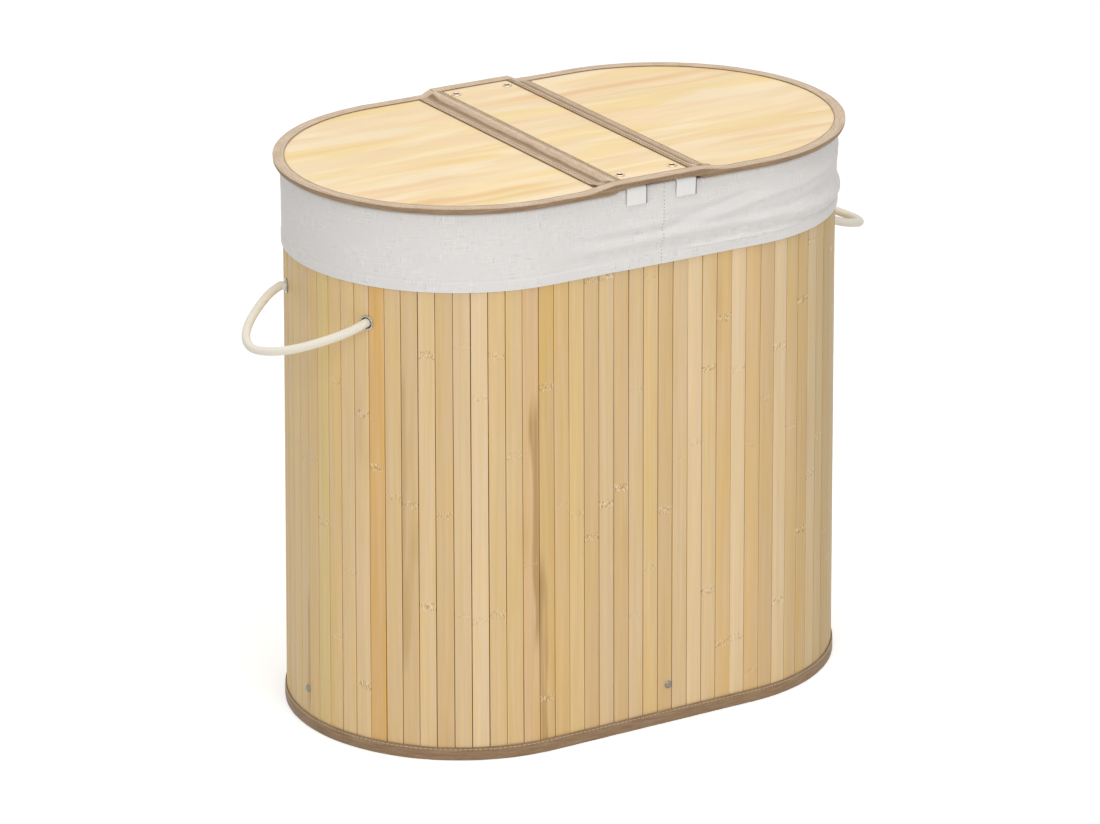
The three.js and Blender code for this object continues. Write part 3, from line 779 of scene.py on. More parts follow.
@dataclass(frozen=True)
class TapeFinish(Finish):
    """Woven cotton binding tape, dyed brown, with painted light and shade where a mesh asks for them.

    It gives a dry, thready brown, painted paler on its tops and folds and darker down its sides, in its
    creases and along its cut edges. Its threads are drawn twice as coarse, and its needle holes, painted
    as dots of shade, further apart than the real ones, because they would not show otherwise.
    """

    title: str = "woven_binding_tape"
    deep: str = "755834"
    # the darkest colour, mixed a little into every tape's own brown, stands for painted shade, and the palest for
    # painted light
    colour: str = "a88c6e"
    painted_light: str = "dbc3a8"
    # the painted shade in the needle holes
    hole_shade: str = "6f5640"
    thread: float = 1.1 * MM
    smear: tuple[float, float] = (28 * MM, 2.6 * MM)
    rows: tuple[float, ...] = ()
    hole_pitch: float = STITCH_PITCH
    hole_radius: float = 1.15 * MM

    def paint(self, node: Adder) -> Node:
        """Adds the tape's nodes.

        Args:
            node: Adds a node to the tree.

        Returns:
            The shader.
        """
        way = node("UVMap", uv_map="way")
        threads = node("Mapping", {"Vector": way, "Scale": (0.16 / self.thread, 1 / self.thread, 1.0)})
        weave = node("TexNoise", {"Vector": threads, "Scale": 1.0, "Detail": 2.0, "Roughness": 0.7})
        drawn = node("Mapping", {"Vector": way, "Scale": (1 / self.smear[0], 1 / self.smear[1], 1.0)})
        mottle = node("TexNoise", {"Vector": drawn, "Scale": 1.0, "Detail": 2.0, "Roughness": 0.6})
        # this attribute holds the dye's level, and on the lid, band and hinge tapes painted light and shade
        fade = node("Attribute", attribute_name="fade").outputs["Fac"]
        uneven = node("MapRange", (mottle, 0.3, 0.7, -0.16, 0.16))
        wear_and_light = node("Math", (fade, uneven), operation="ADD", use_clamp=True)
        colour = srgb(self.deep)
        for start, shade in ((0.0, self.colour), (0.5, self.painted_light)):
            factor = node("MapRange", (wear_and_light, start, start + 0.5))
            colour = node("Mix", {"Factor_Float": factor, "A_Color": colour, "B_Color": srgb(shade)},
                          data_type="RGBA")
        value = node("MapRange", (weave, 0.25, 0.75, 0.86, 1.12))
        colour = node("HueSaturation", {"Value": value, "Color": colour})
        if self.rows:
            along, across, _ = node("SeparateXYZ", (way,)).outputs
            colour = shaded_needle_holes(node, colour, across, along, self.rows, self.hole_pitch, self.hole_radius,
                                  self.hole_shade)
        bump = node("Bump", {"Strength": 0.5, "Distance": 0.3 * MM, "Height": weave})
        return node("BsdfPrincipled", {"Base Color": colour, "Roughness": 0.85, "Normal": bump,
                                       "Sheen Weight": 0.15, "Sheen Roughness": 0.5})


@dataclass(frozen=True)
class CottonFinish(Finish):
    """Plain-woven slub cotton, unbleached white, with thick and thin threads both ways.

    It gives a chalky white with short darker and paler dashes. Its ways are metres along and up the
    cloth. The slubs are drawn as coarse as they look from a step away, and the bump has the threads.
    Along a seam, shade is painted into the needle holes as dark dots.
    """

    title: str = "slub_cotton"
    colour: str = "e9e6e3"
    slub_colour: str = "d7d3cf"
    thin_colour: str = "f5f3f1"
    # the painted shade in the needle holes
    hole_shade: str = "8d8882"
    thread: float = 1.25 * MM
    slub_length: float = 14 * MM
    patch: tuple[float, float] = (55 * MM, 38 * MM)
    seam: float | None = None
    hole_pitch: float = 3.5 * MM
    hole_radius: float = 0.62 * MM

    def paint(self, node: Adder) -> Node:
        """Adds the cotton's nodes.

        Args:
            node: Adds a node to the tree.

        Returns:
            The shader.
        """
        way = node("UVMap", uv_map="way")

        def threads(along: float, up: float, shift: float) -> Node:
            """Adds noise with that grain along and up the cloth, and returns it."""
            place = node("Mapping", {"Vector": way, "Location": (0, 0, shift), "Scale": (1 / along, 1 / up, 1.0)})
            return node("TexNoise", {"Vector": place, "Scale": 1.0, "Detail": 1.5, "Roughness": 0.6})

        weft = threads(self.slub_length, self.thread, 3.0)
        warp = threads(self.thread, self.slub_length, 7.0)
        patchy = threads(*self.patch, 11.0)
        together = node("Math", (weft, warp), operation="ADD")
        share = node("MapRange", (patchy, 0.36, 0.58, 0.25, 1.0), **SOFT)
        colour = srgb(self.colour)
        for shade, operation, low, high in (
            (self.slub_colour, "MAXIMUM", 0.60, 0.72), (self.thin_colour, "MINIMUM", 0.405, 0.29),
        ):
            either = node("Math", (weft, warp), operation=operation)
            slubs = node("MapRange", (either, low, high, 0, 0.9), **SOFT)
            factor = node("Math", (slubs, share), operation="MULTIPLY")
            colour = node("Mix", {"Factor_Float": factor, "A_Color": colour, "B_Color": srgb(shade)},
                          data_type="RGBA")
        cloudy = node("MapRange", (patchy, 0.3, 0.7, 0.99, 1.01))
        colour = node("HueSaturation", {"Value": cloudy, "Color": colour})
        if self.seam is not None:
            across, along, _ = node("SeparateXYZ", (way,)).outputs
            colour = shaded_needle_holes(node, colour, across, along, (self.seam,), self.hole_pitch, self.hole_radius,
                                  self.hole_shade)
        bump = node("Bump", {"Strength": 0.3, "Distance": 0.3 * MM, "Height": together})
        return node("BsdfPrincipled", {"Base Color": colour, "Roughness": 0.92, "Normal": bump,
                                       "Sheen Weight": 0.1, "Sheen Roughness": 0.6, "Specular IOR Level": 0.3})


@dataclass(frozen=True)
class RibbedFinish(Finish):
    """Woven cotton webbing, or the knitted cover of a cotton rope.

    It gives fine ribs along the piece, matte and a little fuzzy, drawn about as wide as they are.
    """

    title: str = "ribbed_webbing"
    colour: str = "f7f6f3"
    shade: str = "e6e4df"
    # a painted shadow line along one long edge, where a strap stands off the cloth under it
    shadow_edge_colour: str = "5f5a54"
    rib: float = 1.4 * MM
    pick: float = 2.2 * MM
    shadow_edge: float | None = None

    def paint(self, node: Adder) -> Node:
        """Adds the ribs' nodes. Beyond the given distance across, a painted shadow darkens one edge.

        Args:
            node: Adds a node to the tree.

        Returns:
            The shader.
        """
        way = node("UVMap", uv_map="way")
        place = node("Mapping", {"Vector": way, "Scale": (1 / self.pick, 1 / self.rib, 1.0)})
        grain = node("TexNoise", {"Vector": place, "Scale": 1.0, "Detail": 1.0, "Roughness": 0.6})
        ribs = node("TexWave", {"Vector": place, "Scale": 0.314, "Distortion": 0.6, "Detail": 1.0},
                    wave_type="BANDS", bands_direction="Y")
        height = node("Math", (grain, ribs.outputs["Fac"]), operation="ADD")
        factor = node("MapRange", (height, 0.4, 1.5, 0.6, 0))
        colour = node("Mix", {"Factor_Float": factor, "A_Color": srgb(self.colour), "B_Color": srgb(self.shade)},
                      data_type="RGBA")
        # painted shadow along the edge beyond the given distance
        if self.shadow_edge is not None:
            across = node("SeparateXYZ", (way,)).outputs[1]
            edge = node("MapRange", (across, self.shadow_edge, self.shadow_edge + 0.5 * MM, 0, 0.9), **SOFT)
            colour = node("Mix", {"Factor_Float": edge, "A_Color": colour, "B_Color": srgb(self.shadow_edge_colour)},
                          data_type="RGBA")
        bump = node("Bump", {"Strength": 0.3, "Distance": 0.25 * MM, "Height": height})
        return node("BsdfPrincipled", {"Base Color": colour, "Roughness": 0.85, "Normal": bump,
                                       "Sheen Weight": 0.2, "Sheen Roughness": 0.5})


@dataclass(frozen=True)
class MetalFinish(Finish):
    """Stamped sheet steel, nickel plated and tumbled.

    It gives a soft grey gleam with faint scuffs, and a dark brown painted shade, not metallic, where a mesh is
    marked.
    """

    title: str = "nickel_plated_steel"
    colour: str = "b9b8b3"
    # the painted shade in a hollow, such as a rivet's bore
    bore_shade_colour: str = "5a3a2e"
    wear_and_light: str = "8e8c84"
    scuff: float = 1.5 * MM
    roughness: float = 0.3

    def paint(self, node: Adder) -> Node:
        """Adds the metal's nodes.

        Args:
            node: Adds a node to the tree.

        Returns:
            The shader.
        """
        place = node("TexCoord").outputs["Object"]
        scuff = node("TexNoise", {"Vector": place, "Scale": 1 / self.scuff, "Detail": 3.0, "Roughness": 0.7})
        # where a mesh marks its hollow, shade is painted dark brown and the metal is left out
        bore_shade = node("Attribute", attribute_name="bore_shade").outputs["Fac"]
        scuffed = node("MapRange", (scuff, 0.42, 0.68, 0, 0.7), **SOFT)
        colour = srgb(self.colour)
        for factor, shade in ((scuffed, self.wear_and_light), (bore_shade, self.bore_shade_colour)):
            colour = node("Mix", {"Factor_Float": factor, "A_Color": colour, "B_Color": srgb(shade)},
                          data_type="RGBA")
        rough = node("MapRange", (scuff, 0, 1, self.roughness - 0.08, self.roughness + 0.12))
        bare = node("Math", (1.0, bore_shade), operation="SUBTRACT")
        return node("BsdfPrincipled", {"Base Color": colour, "Metallic": bare, "Roughness": rough})


@dataclass(frozen=True)
class ThreadFinish(Finish):
    """Spun sewing thread: short matte stitches, with the twist drawn coarse as a soft change of shade."""

    title: str = "sewing_thread"
    colour: str = "e2cfae"
    shade: str = "c4ac85"
    twist: float = 2.5 * MM

    def paint(self, node: Adder) -> Node:
        """Adds the thread's nodes.

        Args:
            node: Adds a node to the tree.

        Returns:
            The shader.
        """
        place = node("TexCoord").outputs["Object"]
        twist = node("TexNoise", {"Vector": place, "Scale": 1 / self.twist, "Detail": 1.0, "Roughness": 0.5})
        colour = node("Mix", {"Factor_Float": twist, "A_Color": srgb(self.colour), "B_Color": srgb(self.shade)},
                      data_type="RGBA")
        return node("BsdfPrincipled", {"Base Color": colour, "Roughness": 0.7})


@dataclass(frozen=True)
class FeltFinish(Finish):
    """Pressed non-woven cloth over card: a flat grey beige, flecked with fibres."""

    title: str = "pressed_base_cloth"
    colour: str = "cdc6ba"
    fleck: str = "b0a89a"
    fibre: float = 2 * MM

    def paint(self, node: Adder) -> Node:
        """Adds the felt's nodes.

        Args:
            node: Adds a node to the tree.

        Returns:
            The shader.
        """
        place = node("TexCoord").outputs["Object"]
        fibres = node("TexNoise", {"Vector": place, "Scale": 1 / self.fibre, "Detail": 4.0, "Roughness": 0.7})
        factor = node("MapRange", (fibres, 0.4, 0.7, 0, 0.8))
        colour = node("Mix", {"Factor_Float": factor, "A_Color": srgb(self.colour), "B_Color": srgb(self.fleck)},
                      data_type="RGBA")
        bump = node("Bump", {"Strength": 0.4, "Distance": 0.3 * MM, "Height": fibres})
        return node("BsdfPrincipled", {"Base Color": colour, "Roughness": 0.95, "Normal": bump})


@dataclass(frozen=True)
class Oval:
    """The hamper's plan: a straight front and back joined by two round ends."""

    straight_half: float
    face_radius: float
    lean: float = 4 * MM
    lean_top: float = 450 * MM

    @property
    def end_arc(self) -> float:
        """The length of one round end along the wall's face."""
        return math.pi * self.face_radius

    @property
    def perimeter(self) -> float:
        """The length all round along the wall's face."""
        return 4 * self.straight_half + 2 * self.end_arc

    @property
    def left_apex(self) -> float:
        """The way to the middle of the left end."""
        return -self.perimeter / 4

    def places(self, way: np.ndarray, radius: np.ndarray | float) -> Pair:
        """Finds points of the plan.

        Args:
            way: Ways along the wall.
            radius: How far out of the oval's middle line each point is.

        Returns:
            The points and the directions out of the wall, one row of x and y each.
        """
        way = np.mod(way, self.perimeter)
        half = self.perimeter / 2
        back = way > half
        along = np.where(back, way - half, way)
        turn = np.clip((along - self.straight_half) / self.face_radius, 0, math.pi)
        after = np.where(along > self.straight_half + self.end_arc, half - along, self.straight_half)
        middle = np.where(along < self.straight_half, along, after)
        out = np.stack([np.sin(turn), -np.cos(turn)], axis=-1)
        points = np.stack([middle, np.zeros_like(middle)], axis=-1) + out * np.asarray(radius)[..., None]
        sign = np.where(back, -1.0, 1.0)[..., None]
        return points * sign, out * sign

    def ways(self, points: np.ndarray) -> Pair:
        """Finds the way and the radius of points near the wall.

        Args:
            points: One row for each point.

        Returns:
            The ways and the radii.
        """
        x, y = points[:, 0], points[:, 1]
        turned = (x < -self.straight_half) | ((np.abs(x) <= self.straight_half) & (y > 0))
        u, v = np.where(turned, -x, x), np.where(turned, -y, y)
        beyond = u > self.straight_half
        turn = np.where(beyond, np.arctan2(u - self.straight_half, -v), 0)
        way = np.where(beyond, self.straight_half + turn * self.face_radius, u)
        radius = np.where(beyond, np.hypot(u - self.straight_half, v), -v)
        return way + np.where(turned, self.perimeter / 2, 0), radius

    def leaning(self, height: np.ndarray | float) -> np.ndarray:
        """Gives how far the wall stands out at a height, as it leans out a little towards its foot."""
        return self.lean * np.clip(1 - np.asarray(height) / self.lean_top, 0, 1)

    def leaned(self, points: np.ndarray) -> np.ndarray:
        """Moves a wall's points out by its lean.

        Args:
            points: One row for each point.

        Returns:
            The moved points.
        """
        way, radius = self.ways(points)
        flat, _ = self.places(way, radius + self.leaning(points[:, 2]))
        return np.column_stack([flat, points[:, 2]])

    def wall_place(self, way: float, radius: float, height: float) -> Matrix:
        """Gives a frame on the wall, with X along it, Y into it and Z up.

        Args:
            way: The way along the wall.
            radius: How far out the frame's origin is.
            height: How high it is.

        Returns:
            The frame's matrix.
        """
        point, out = self.places(np.array([way]), np.array([radius]))
        inward = Vector((-out[0, 0], -out[0, 1], 0))
        along = inward.cross(Vector((0, 0, 1)))
        place = Matrix((along, inward, Vector((0, 0, 1)))).transposed().to_4x4()
        place.translation = (point[0, 0], point[0, 1], height)
        return place

    def seat(self, way: float, radius: float, height: float) -> Matrix:
        """Gives the same frame with Z out of the wall, for a piece that is set into it."""
        return self.wall_place(way, radius, height) @ Matrix.Rotation(math.pi / 2, 4, "X")


@dataclass(frozen=True)
class Finishes:
    """The materials that the pieces share."""

    slat: Material
    board: Material
    tape: Material
    lid_tape: Material
    hinge_tape: Material
    cuff: Material
    cotton: Material
    webbing: Material
    rope: Material
    rivet: Material
    ring: Material
    eyelet: Material
    brown_thread: Material
    white_thread: Material
    base_cloth: Material
    backing: Material


def stitch_pattern() -> Piece:
    """Models one stitch along X: a short thread that dives into the cloth at both ends.

    Returns:
        The stitch.
    """
    length, radius, dive = 3.3 * MM, 0.38 * MM, 0.5 * MM
    piece = started(
        bpy.ops.mesh.primitive_cylinder_add, "stitch", vertices=6, radius=radius, depth=length,
        rotation=(0, math.pi / 2, 0),
    )
    bpy.ops.object.transform_apply(location=False, rotation=True, scale=False)
    with editing(piece):
        for side in (-1, 1):
            pick(piece, Element.FACES, lambda face, side=side: face.normal.x * side > 0.9)
            bpy.ops.mesh.extrude_region_move(TRANSFORM_OT_translate={"value": (side * radius, 0, -dive)})
            bpy.ops.transform.resize(value=(1, 0.6, 0.6))
    smoothed(piece, 60)
    return piece


def stitched(name: str, places: Sequence[Matrix]) -> Piece:
    """Copies one stitch to each place and joins the row.

    Args:
        name: The row's name.
        places: A frame for each stitch, with X along it and Z out of the cloth.

    Returns:
        The joined row.
    """
    pattern = stitch_pattern()
    row = joined([copied(pattern, name, place) for place in places], name)
    removed(pattern)
    return row


def seam_frames(points: Sequence[Vector], outs: Sequence[Vector], pitch: float) -> list[Matrix]:
    """Spaces frames evenly along a line.

    Args:
        points: The line's points, close together.
        outs: The direction out of the cloth at each point.
        pitch: The length from one frame to the next.

    Returns:
        Frames with X along the line and Z out of the cloth.
    """
    lengths = seam_lengths(points)
    frames = []
    index = 0
    for step in range(int(lengths[-1] / pitch)):
        target = (step + 0.5) * pitch
        while lengths[index + 1] < target:
            index += 1
        share = (target - lengths[index]) / (lengths[index + 1] - lengths[index])
        along = (points[index + 1] - points[index]).normalized()
        out = outs[index].lerp(outs[index + 1], share)
        side = out.cross(along).normalized()
        out = along.cross(side)
        place = Matrix((along, side, out)).transposed().to_4x4()
        place.translation = points[index].lerp(points[index + 1], share)
        frames.append(place)
    return frames


@dataclass(frozen=True)
class PhotoView:
    """The camera that saw the hamper, fitted to its outline."""

    place: tuple[float, float, float] = (-2.8472, -4.6685, 2.3000)
    pitch: float = 0.3525
    yaw: float = -0.5454
    lens: float = 182.0
    sensor: float = 36.0

    def build(self) -> None:
        """Adds the camera and makes it the scene's."""
        data = bpy.data.cameras.new("photo_view")
        data.lens = self.lens
        data.sensor_width = self.sensor
        camera = placed("photo_view", data)
        camera.location = self.place
        camera.rotation_euler = (math.pi / 2 - self.pitch, 0, self.yaw)
        bpy.context.scene.camera = camera


@dataclass(frozen=True)
class RopeHandles:
    """A cotton rope through two eyelets at each end, knotted inside, which hangs out in a loop."""

    oval: Oval
    finishes: Finishes
    radius: float = 4.5 * MM
    reach: float = 87 * MM
    droop: float = math.radians(20)
    height: float = HANDLE_HEIGHT
    half_spread: float = 73.5 * MM
    turn: float = 17 * MM
    stub: float = 2 * MM
    gap: float = 0.3 * MM
    inside: float = 11 * MM
    knot_depth: float = 6 * MM
    rings: int = 150
    sides: int = 16
    route_shares: tuple[tuple[float, float], ...] = (
        (-1, 0), (-0.985, 0.1), (-0.93, 0.24), (-0.83, 0.42), (-0.68, 0.62), (-0.48, 0.81), (-0.25, 0.94),
        (0, 1), (0.24, 0.955), (0.46, 0.84), (0.65, 0.67), (0.81, 0.47), (0.93, 0.28), (0.99, 0.13), (1, 0),
    )

    @property
    def apex(self) -> float:
        """The way to the middle of the left handle."""
        return self.turn + self.oval.left_apex

    def eyelet_ways(self) -> tuple[float, float]:
        """Returns the ways to the left handle's front and back eyelets."""
        return self.apex + self.half_spread, self.apex - self.half_spread

    def route(self) -> list[Vector]:
        """Finds the left rope's middle line from knot to knot.

        Returns:
            The line's points.
        """
        axis_radius = self.oval.face_radius + self.stub + self.gap + self.radius
        ends, outs = self.oval.places(np.array(self.eyelet_ways()), axis_radius)
        front, back = (Vector((*end, self.height)) for end in ends)
        middle = (front + back) / 2
        along = (back - front).normalized()
        half_span = (back - front).length / 2
        outward = Vector((-along.y, along.x, 0))
        reach = outward * math.cos(self.droop) - Vector((0, 0, 1)) * math.sin(self.droop)
        loop = [middle + along * (share * half_span) + reach * (out * self.reach)
                for share, out in self.route_shares]
        start, finish = (
            [end - Vector((*out, 0)) * depth for depth in (self.inside + 7 * MM, self.inside, 4 * MM)]
            for end, out in zip((front, back), outs)
        )
        return [*start, *loop, *reversed(finish)]

    def fine_route(self) -> np.ndarray:
        """Spaces the rings' middles along a smooth curve through the route's points.

        Returns:
            One row for each ring.
        """
        knots = np.array([tuple(point) for point in self.route()])
        padded = np.vstack([2 * knots[0] - knots[1], knots, 2 * knots[-1] - knots[-2]])
        curve = []
        for i in range(len(knots) - 1):
            before, start, stop, after = padded[i:i + 4]
            for t in np.linspace(0, 1, 24, endpoint=False):
                curve.append(0.5 * (2 * start + (stop - before) * t
                                    + (2 * before - 5 * start + 4 * stop - after) * t ** 2
                                    + (3 * start - before - 3 * stop + after) * t ** 3))
        curve = np.array([*curve, knots[-1]])
        lengths = lengths_along(curve)
        even = np.linspace(0, lengths[-1], self.rings + 1)
        return np.stack([np.interp(even, lengths, curve[:, k]) for k in range(3)], axis=1)

    def model_rope(self) -> tuple[Piece, np.ndarray]:
        """Models the left rope as a tube.

        Returns:
            The rope and its line.
        """
        line = self.fine_route()
        tangents = np.gradient(line, axis=0)
        tangents /= np.linalg.norm(tangents, axis=1)[:, None]
        upright = np.tile(np.array([0.0, 0.0, 1.0]), (len(line), 1))
        sides = np.cross(tangents, upright)
        sides /= np.linalg.norm(sides, axis=1)[:, None]
        tops = np.cross(sides, tangents)
        lengths = lengths_along(line)

        def place(along: np.ndarray, girth: np.ndarray) -> Pair:
            """Puts the grid round the line.

            Args:
                along: Shares along the sheet.
                girth: Shares round the line.

            Returns:
                The points, and their ways in metres.
            """
            ring = np.rint(along * self.rings).astype(int)
            angle = 2 * math.pi * girth
            uneven = 1 + 0.03 * np.sin(lengths[ring] / (11 * MM)) * np.sin(angle + lengths[ring] / (31 * MM))
            offset = sides[ring] * np.cos(angle)[:, None] + tops[ring] * np.sin(angle)[:, None]
            points = line[ring] + offset * (self.radius * uneven)[:, None]
            return points, np.stack([lengths[ring], girth * 2 * math.pi * self.radius], axis=1)

        rope = sheet_grid("rope_pattern", self.rings, self.sides, place, closed=True)
        capped(rope)
        recalculated(rope)
        smoothed(rope, 60)
        return rope, line

    def model_eyelet(self) -> Piece:
        """Models one eyelet about Z, with its outer flange rolled and its seat at zero.

        Returns:
            The eyelet.
        """
        bore, flange, lip, depth = 5.6 * MM, 7.6 * MM, 1.1 * MM, 5.4 * MM
        roll = [(flange - 0.55 * MM + 0.55 * MM * math.cos(a), 0.45 * MM + 0.55 * MM * math.sin(a))
                for a in np.linspace(-0.9, 1.7, 6)]
        throat = [(bore + 0.9 * MM - 0.9 * MM * math.sin(a), lip - 0.9 * MM + 0.9 * MM * math.cos(a))
                  for a in np.linspace(0.2, math.pi / 2, 5)]
        profile = [
            *roll, *throat, (bore, -depth), (bore + 0.3 * MM, -depth - 0.6 * MM), (flange, -depth - 0.6 * MM),
            (flange, -depth), (bore + 0.6 * MM, -depth), (bore + 0.6 * MM, -0.1 * MM),
        ]
        eyelet = spun("eyelet_pattern", profile, 40)
        smoothed(eyelet, 40)
        return eyelet

    def model_knot(self) -> Piece:
        """Models one stopper knot about Z below zero, as two crossed turns of the rope.

        Returns:
            The knot.
        """
        turns, tube, ring = 2.0, 3.6 * MM, 4.6 * MM

        def place(along: np.ndarray, girth: np.ndarray) -> Pair:
            """Winds the grid round the knot.

            Args:
                along: Shares along the sheet.
                girth: Shares round the line.

            Returns:
                The points, and their ways in metres.
            """
            angle = 2 * math.pi * turns * along
            middle = np.stack([
                ring * np.cos(angle), ring * np.sin(angle), -7 * MM + 3.0 * MM * np.sin(angle * 1.5),
            ], axis=1)
            out = middle * np.array([1, 1, 0])
            out /= np.linalg.norm(out, axis=1)[:, None]
            turn = 2 * math.pi * girth
            points = middle + out * (tube * np.cos(turn))[:, None]
            points[:, 2] += tube * np.sin(turn)
            return points, np.stack([along * 60 * MM, girth * 22 * MM], axis=1)

        knot = sheet_grid("knot_pattern", 48, 10, place, closed=True)
        recalculated(knot)
        smoothed(knot, 60)
        return knot

    def build(self) -> None:
        """Builds both ropes with their eyelets and knots."""
        rope, line = self.model_rope()
        eyelet = self.model_eyelet()
        knot = self.model_knot()
        outward = Vector((*self.oval.places(np.array([self.apex]), 1.0)[1][0], 0))
        for end, sides, turn in (
            ("left", ("front", "back"), Matrix.Identity(4)), ("right", ("back", "front"), HALF_TURN),
        ):
            piece = copied(rope, f"rope_{end}", turn)
            finished(piece, self.finishes.rope, None, [f"rope_handle_{end}"])
            axis_point = (turn @ self.route()[3] + turn @ self.route()[-4]) / 2
            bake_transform(piece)
            for side, way in zip(sides, self.eyelet_ways()):
                for pattern, kind, radius, finish, slot, node in (
                    (eyelet, "eyelet_ring", self.gap, self.finishes.eyelet, Slot.EYELET, "eyelet"),
                    (knot, "stopper_knot", -self.knot_depth, self.finishes.rope, Slot.ROPE, "rope_knot"),
                ):
                    place = turn @ self.oval.seat(way, self.oval.face_radius + radius, self.height)
                    finished(copied(pattern, f"{kind}_{end}_{side}", place), finish, BODY,
                             [f"{node}_{end}_{side}"])
        for pattern in (rope, eyelet, knot):
            removed(pattern)


def build_finishes() -> Finishes:
    """Builds every material.

    Returns:
        The materials.
    """
    hinge_rows = tuple(row * MM for row in (*HingeTapes.band_rows, *HingeTapes.lid_rows))
    kinds = {
        "slat": BambooSlatFinish(),
        "board": BambooBoardFinish(),
        "tape": TapeFinish(),
        "lid_tape": TapeFinish(title="stitched_lid_tape", rows=(406.6 * MM,), hole_radius=0.55 * MM),
        "hinge_tape": TapeFinish(title="stitched_hinge_tape", rows=hinge_rows),
        "cuff": CottonFinish(title="slub_cotton_cuff", seam=LinerCuff.seam),
        "cotton": CottonFinish(),
        "webbing": RibbedFinish(shadow_edge=10.2 * MM),
        "rope": RibbedFinish(title="knitted_cotton_rope", colour="f3eddd", shade="e5dccb", rib=1.1 * MM,
                             pick=1.6 * MM),
        "rivet": MetalFinish(title="dull_nickel_rivet", colour="8f8c82", wear_and_light="6d6a61", roughness=0.42),
        "ring": MetalFinish(title="warm_nickel_ring", colour="d8c8b0", wear_and_light="b09c80", roughness=0.34),
        "eyelet": MetalFinish(),
        "brown_thread": ThreadFinish(),
        "white_thread": ThreadFinish(title="white_sewing_thread", colour="f3f1ee", shade="dedbd7"),
        "base_cloth": FeltFinish(),
        "backing": TapeFinish(title="brown_backing_cloth", deep="86683f", colour="8f7145", painted_light="9c7e50"),
    }
    return Finishes(**{name: finish.material() for name, finish in kinds.items()})


def rounded(corners: Rows) -> list[tuple[float, float]]:
    """Rounds the corners of a closed outline.

    Args:
        corners: For each corner its two coordinates, and how far from it its rounding starts.

    Returns:
        The rounded outline's points.
    """
    points = []
    steps = 3
    for i, (x, y, cut) in enumerate(corners):
        here = Vector((x, y))
        if not cut:
            points.append((x, y))
            continue
        before = Vector(corners[i - 1][:2]) - here
        after = Vector(corners[(i + 1) % len(corners)][:2]) - here
        start = here + before.normalized() * min(cut, before.length / 2)
        stop = here + after.normalized() * min(cut, after.length / 2)
        for step in range(steps + 1):
            t = step / steps
            point = start * (1 - t) ** 2 + here * (2 * t * (1 - t)) + stop * t ** 2
            points.append((point.x, point.y))
    return points


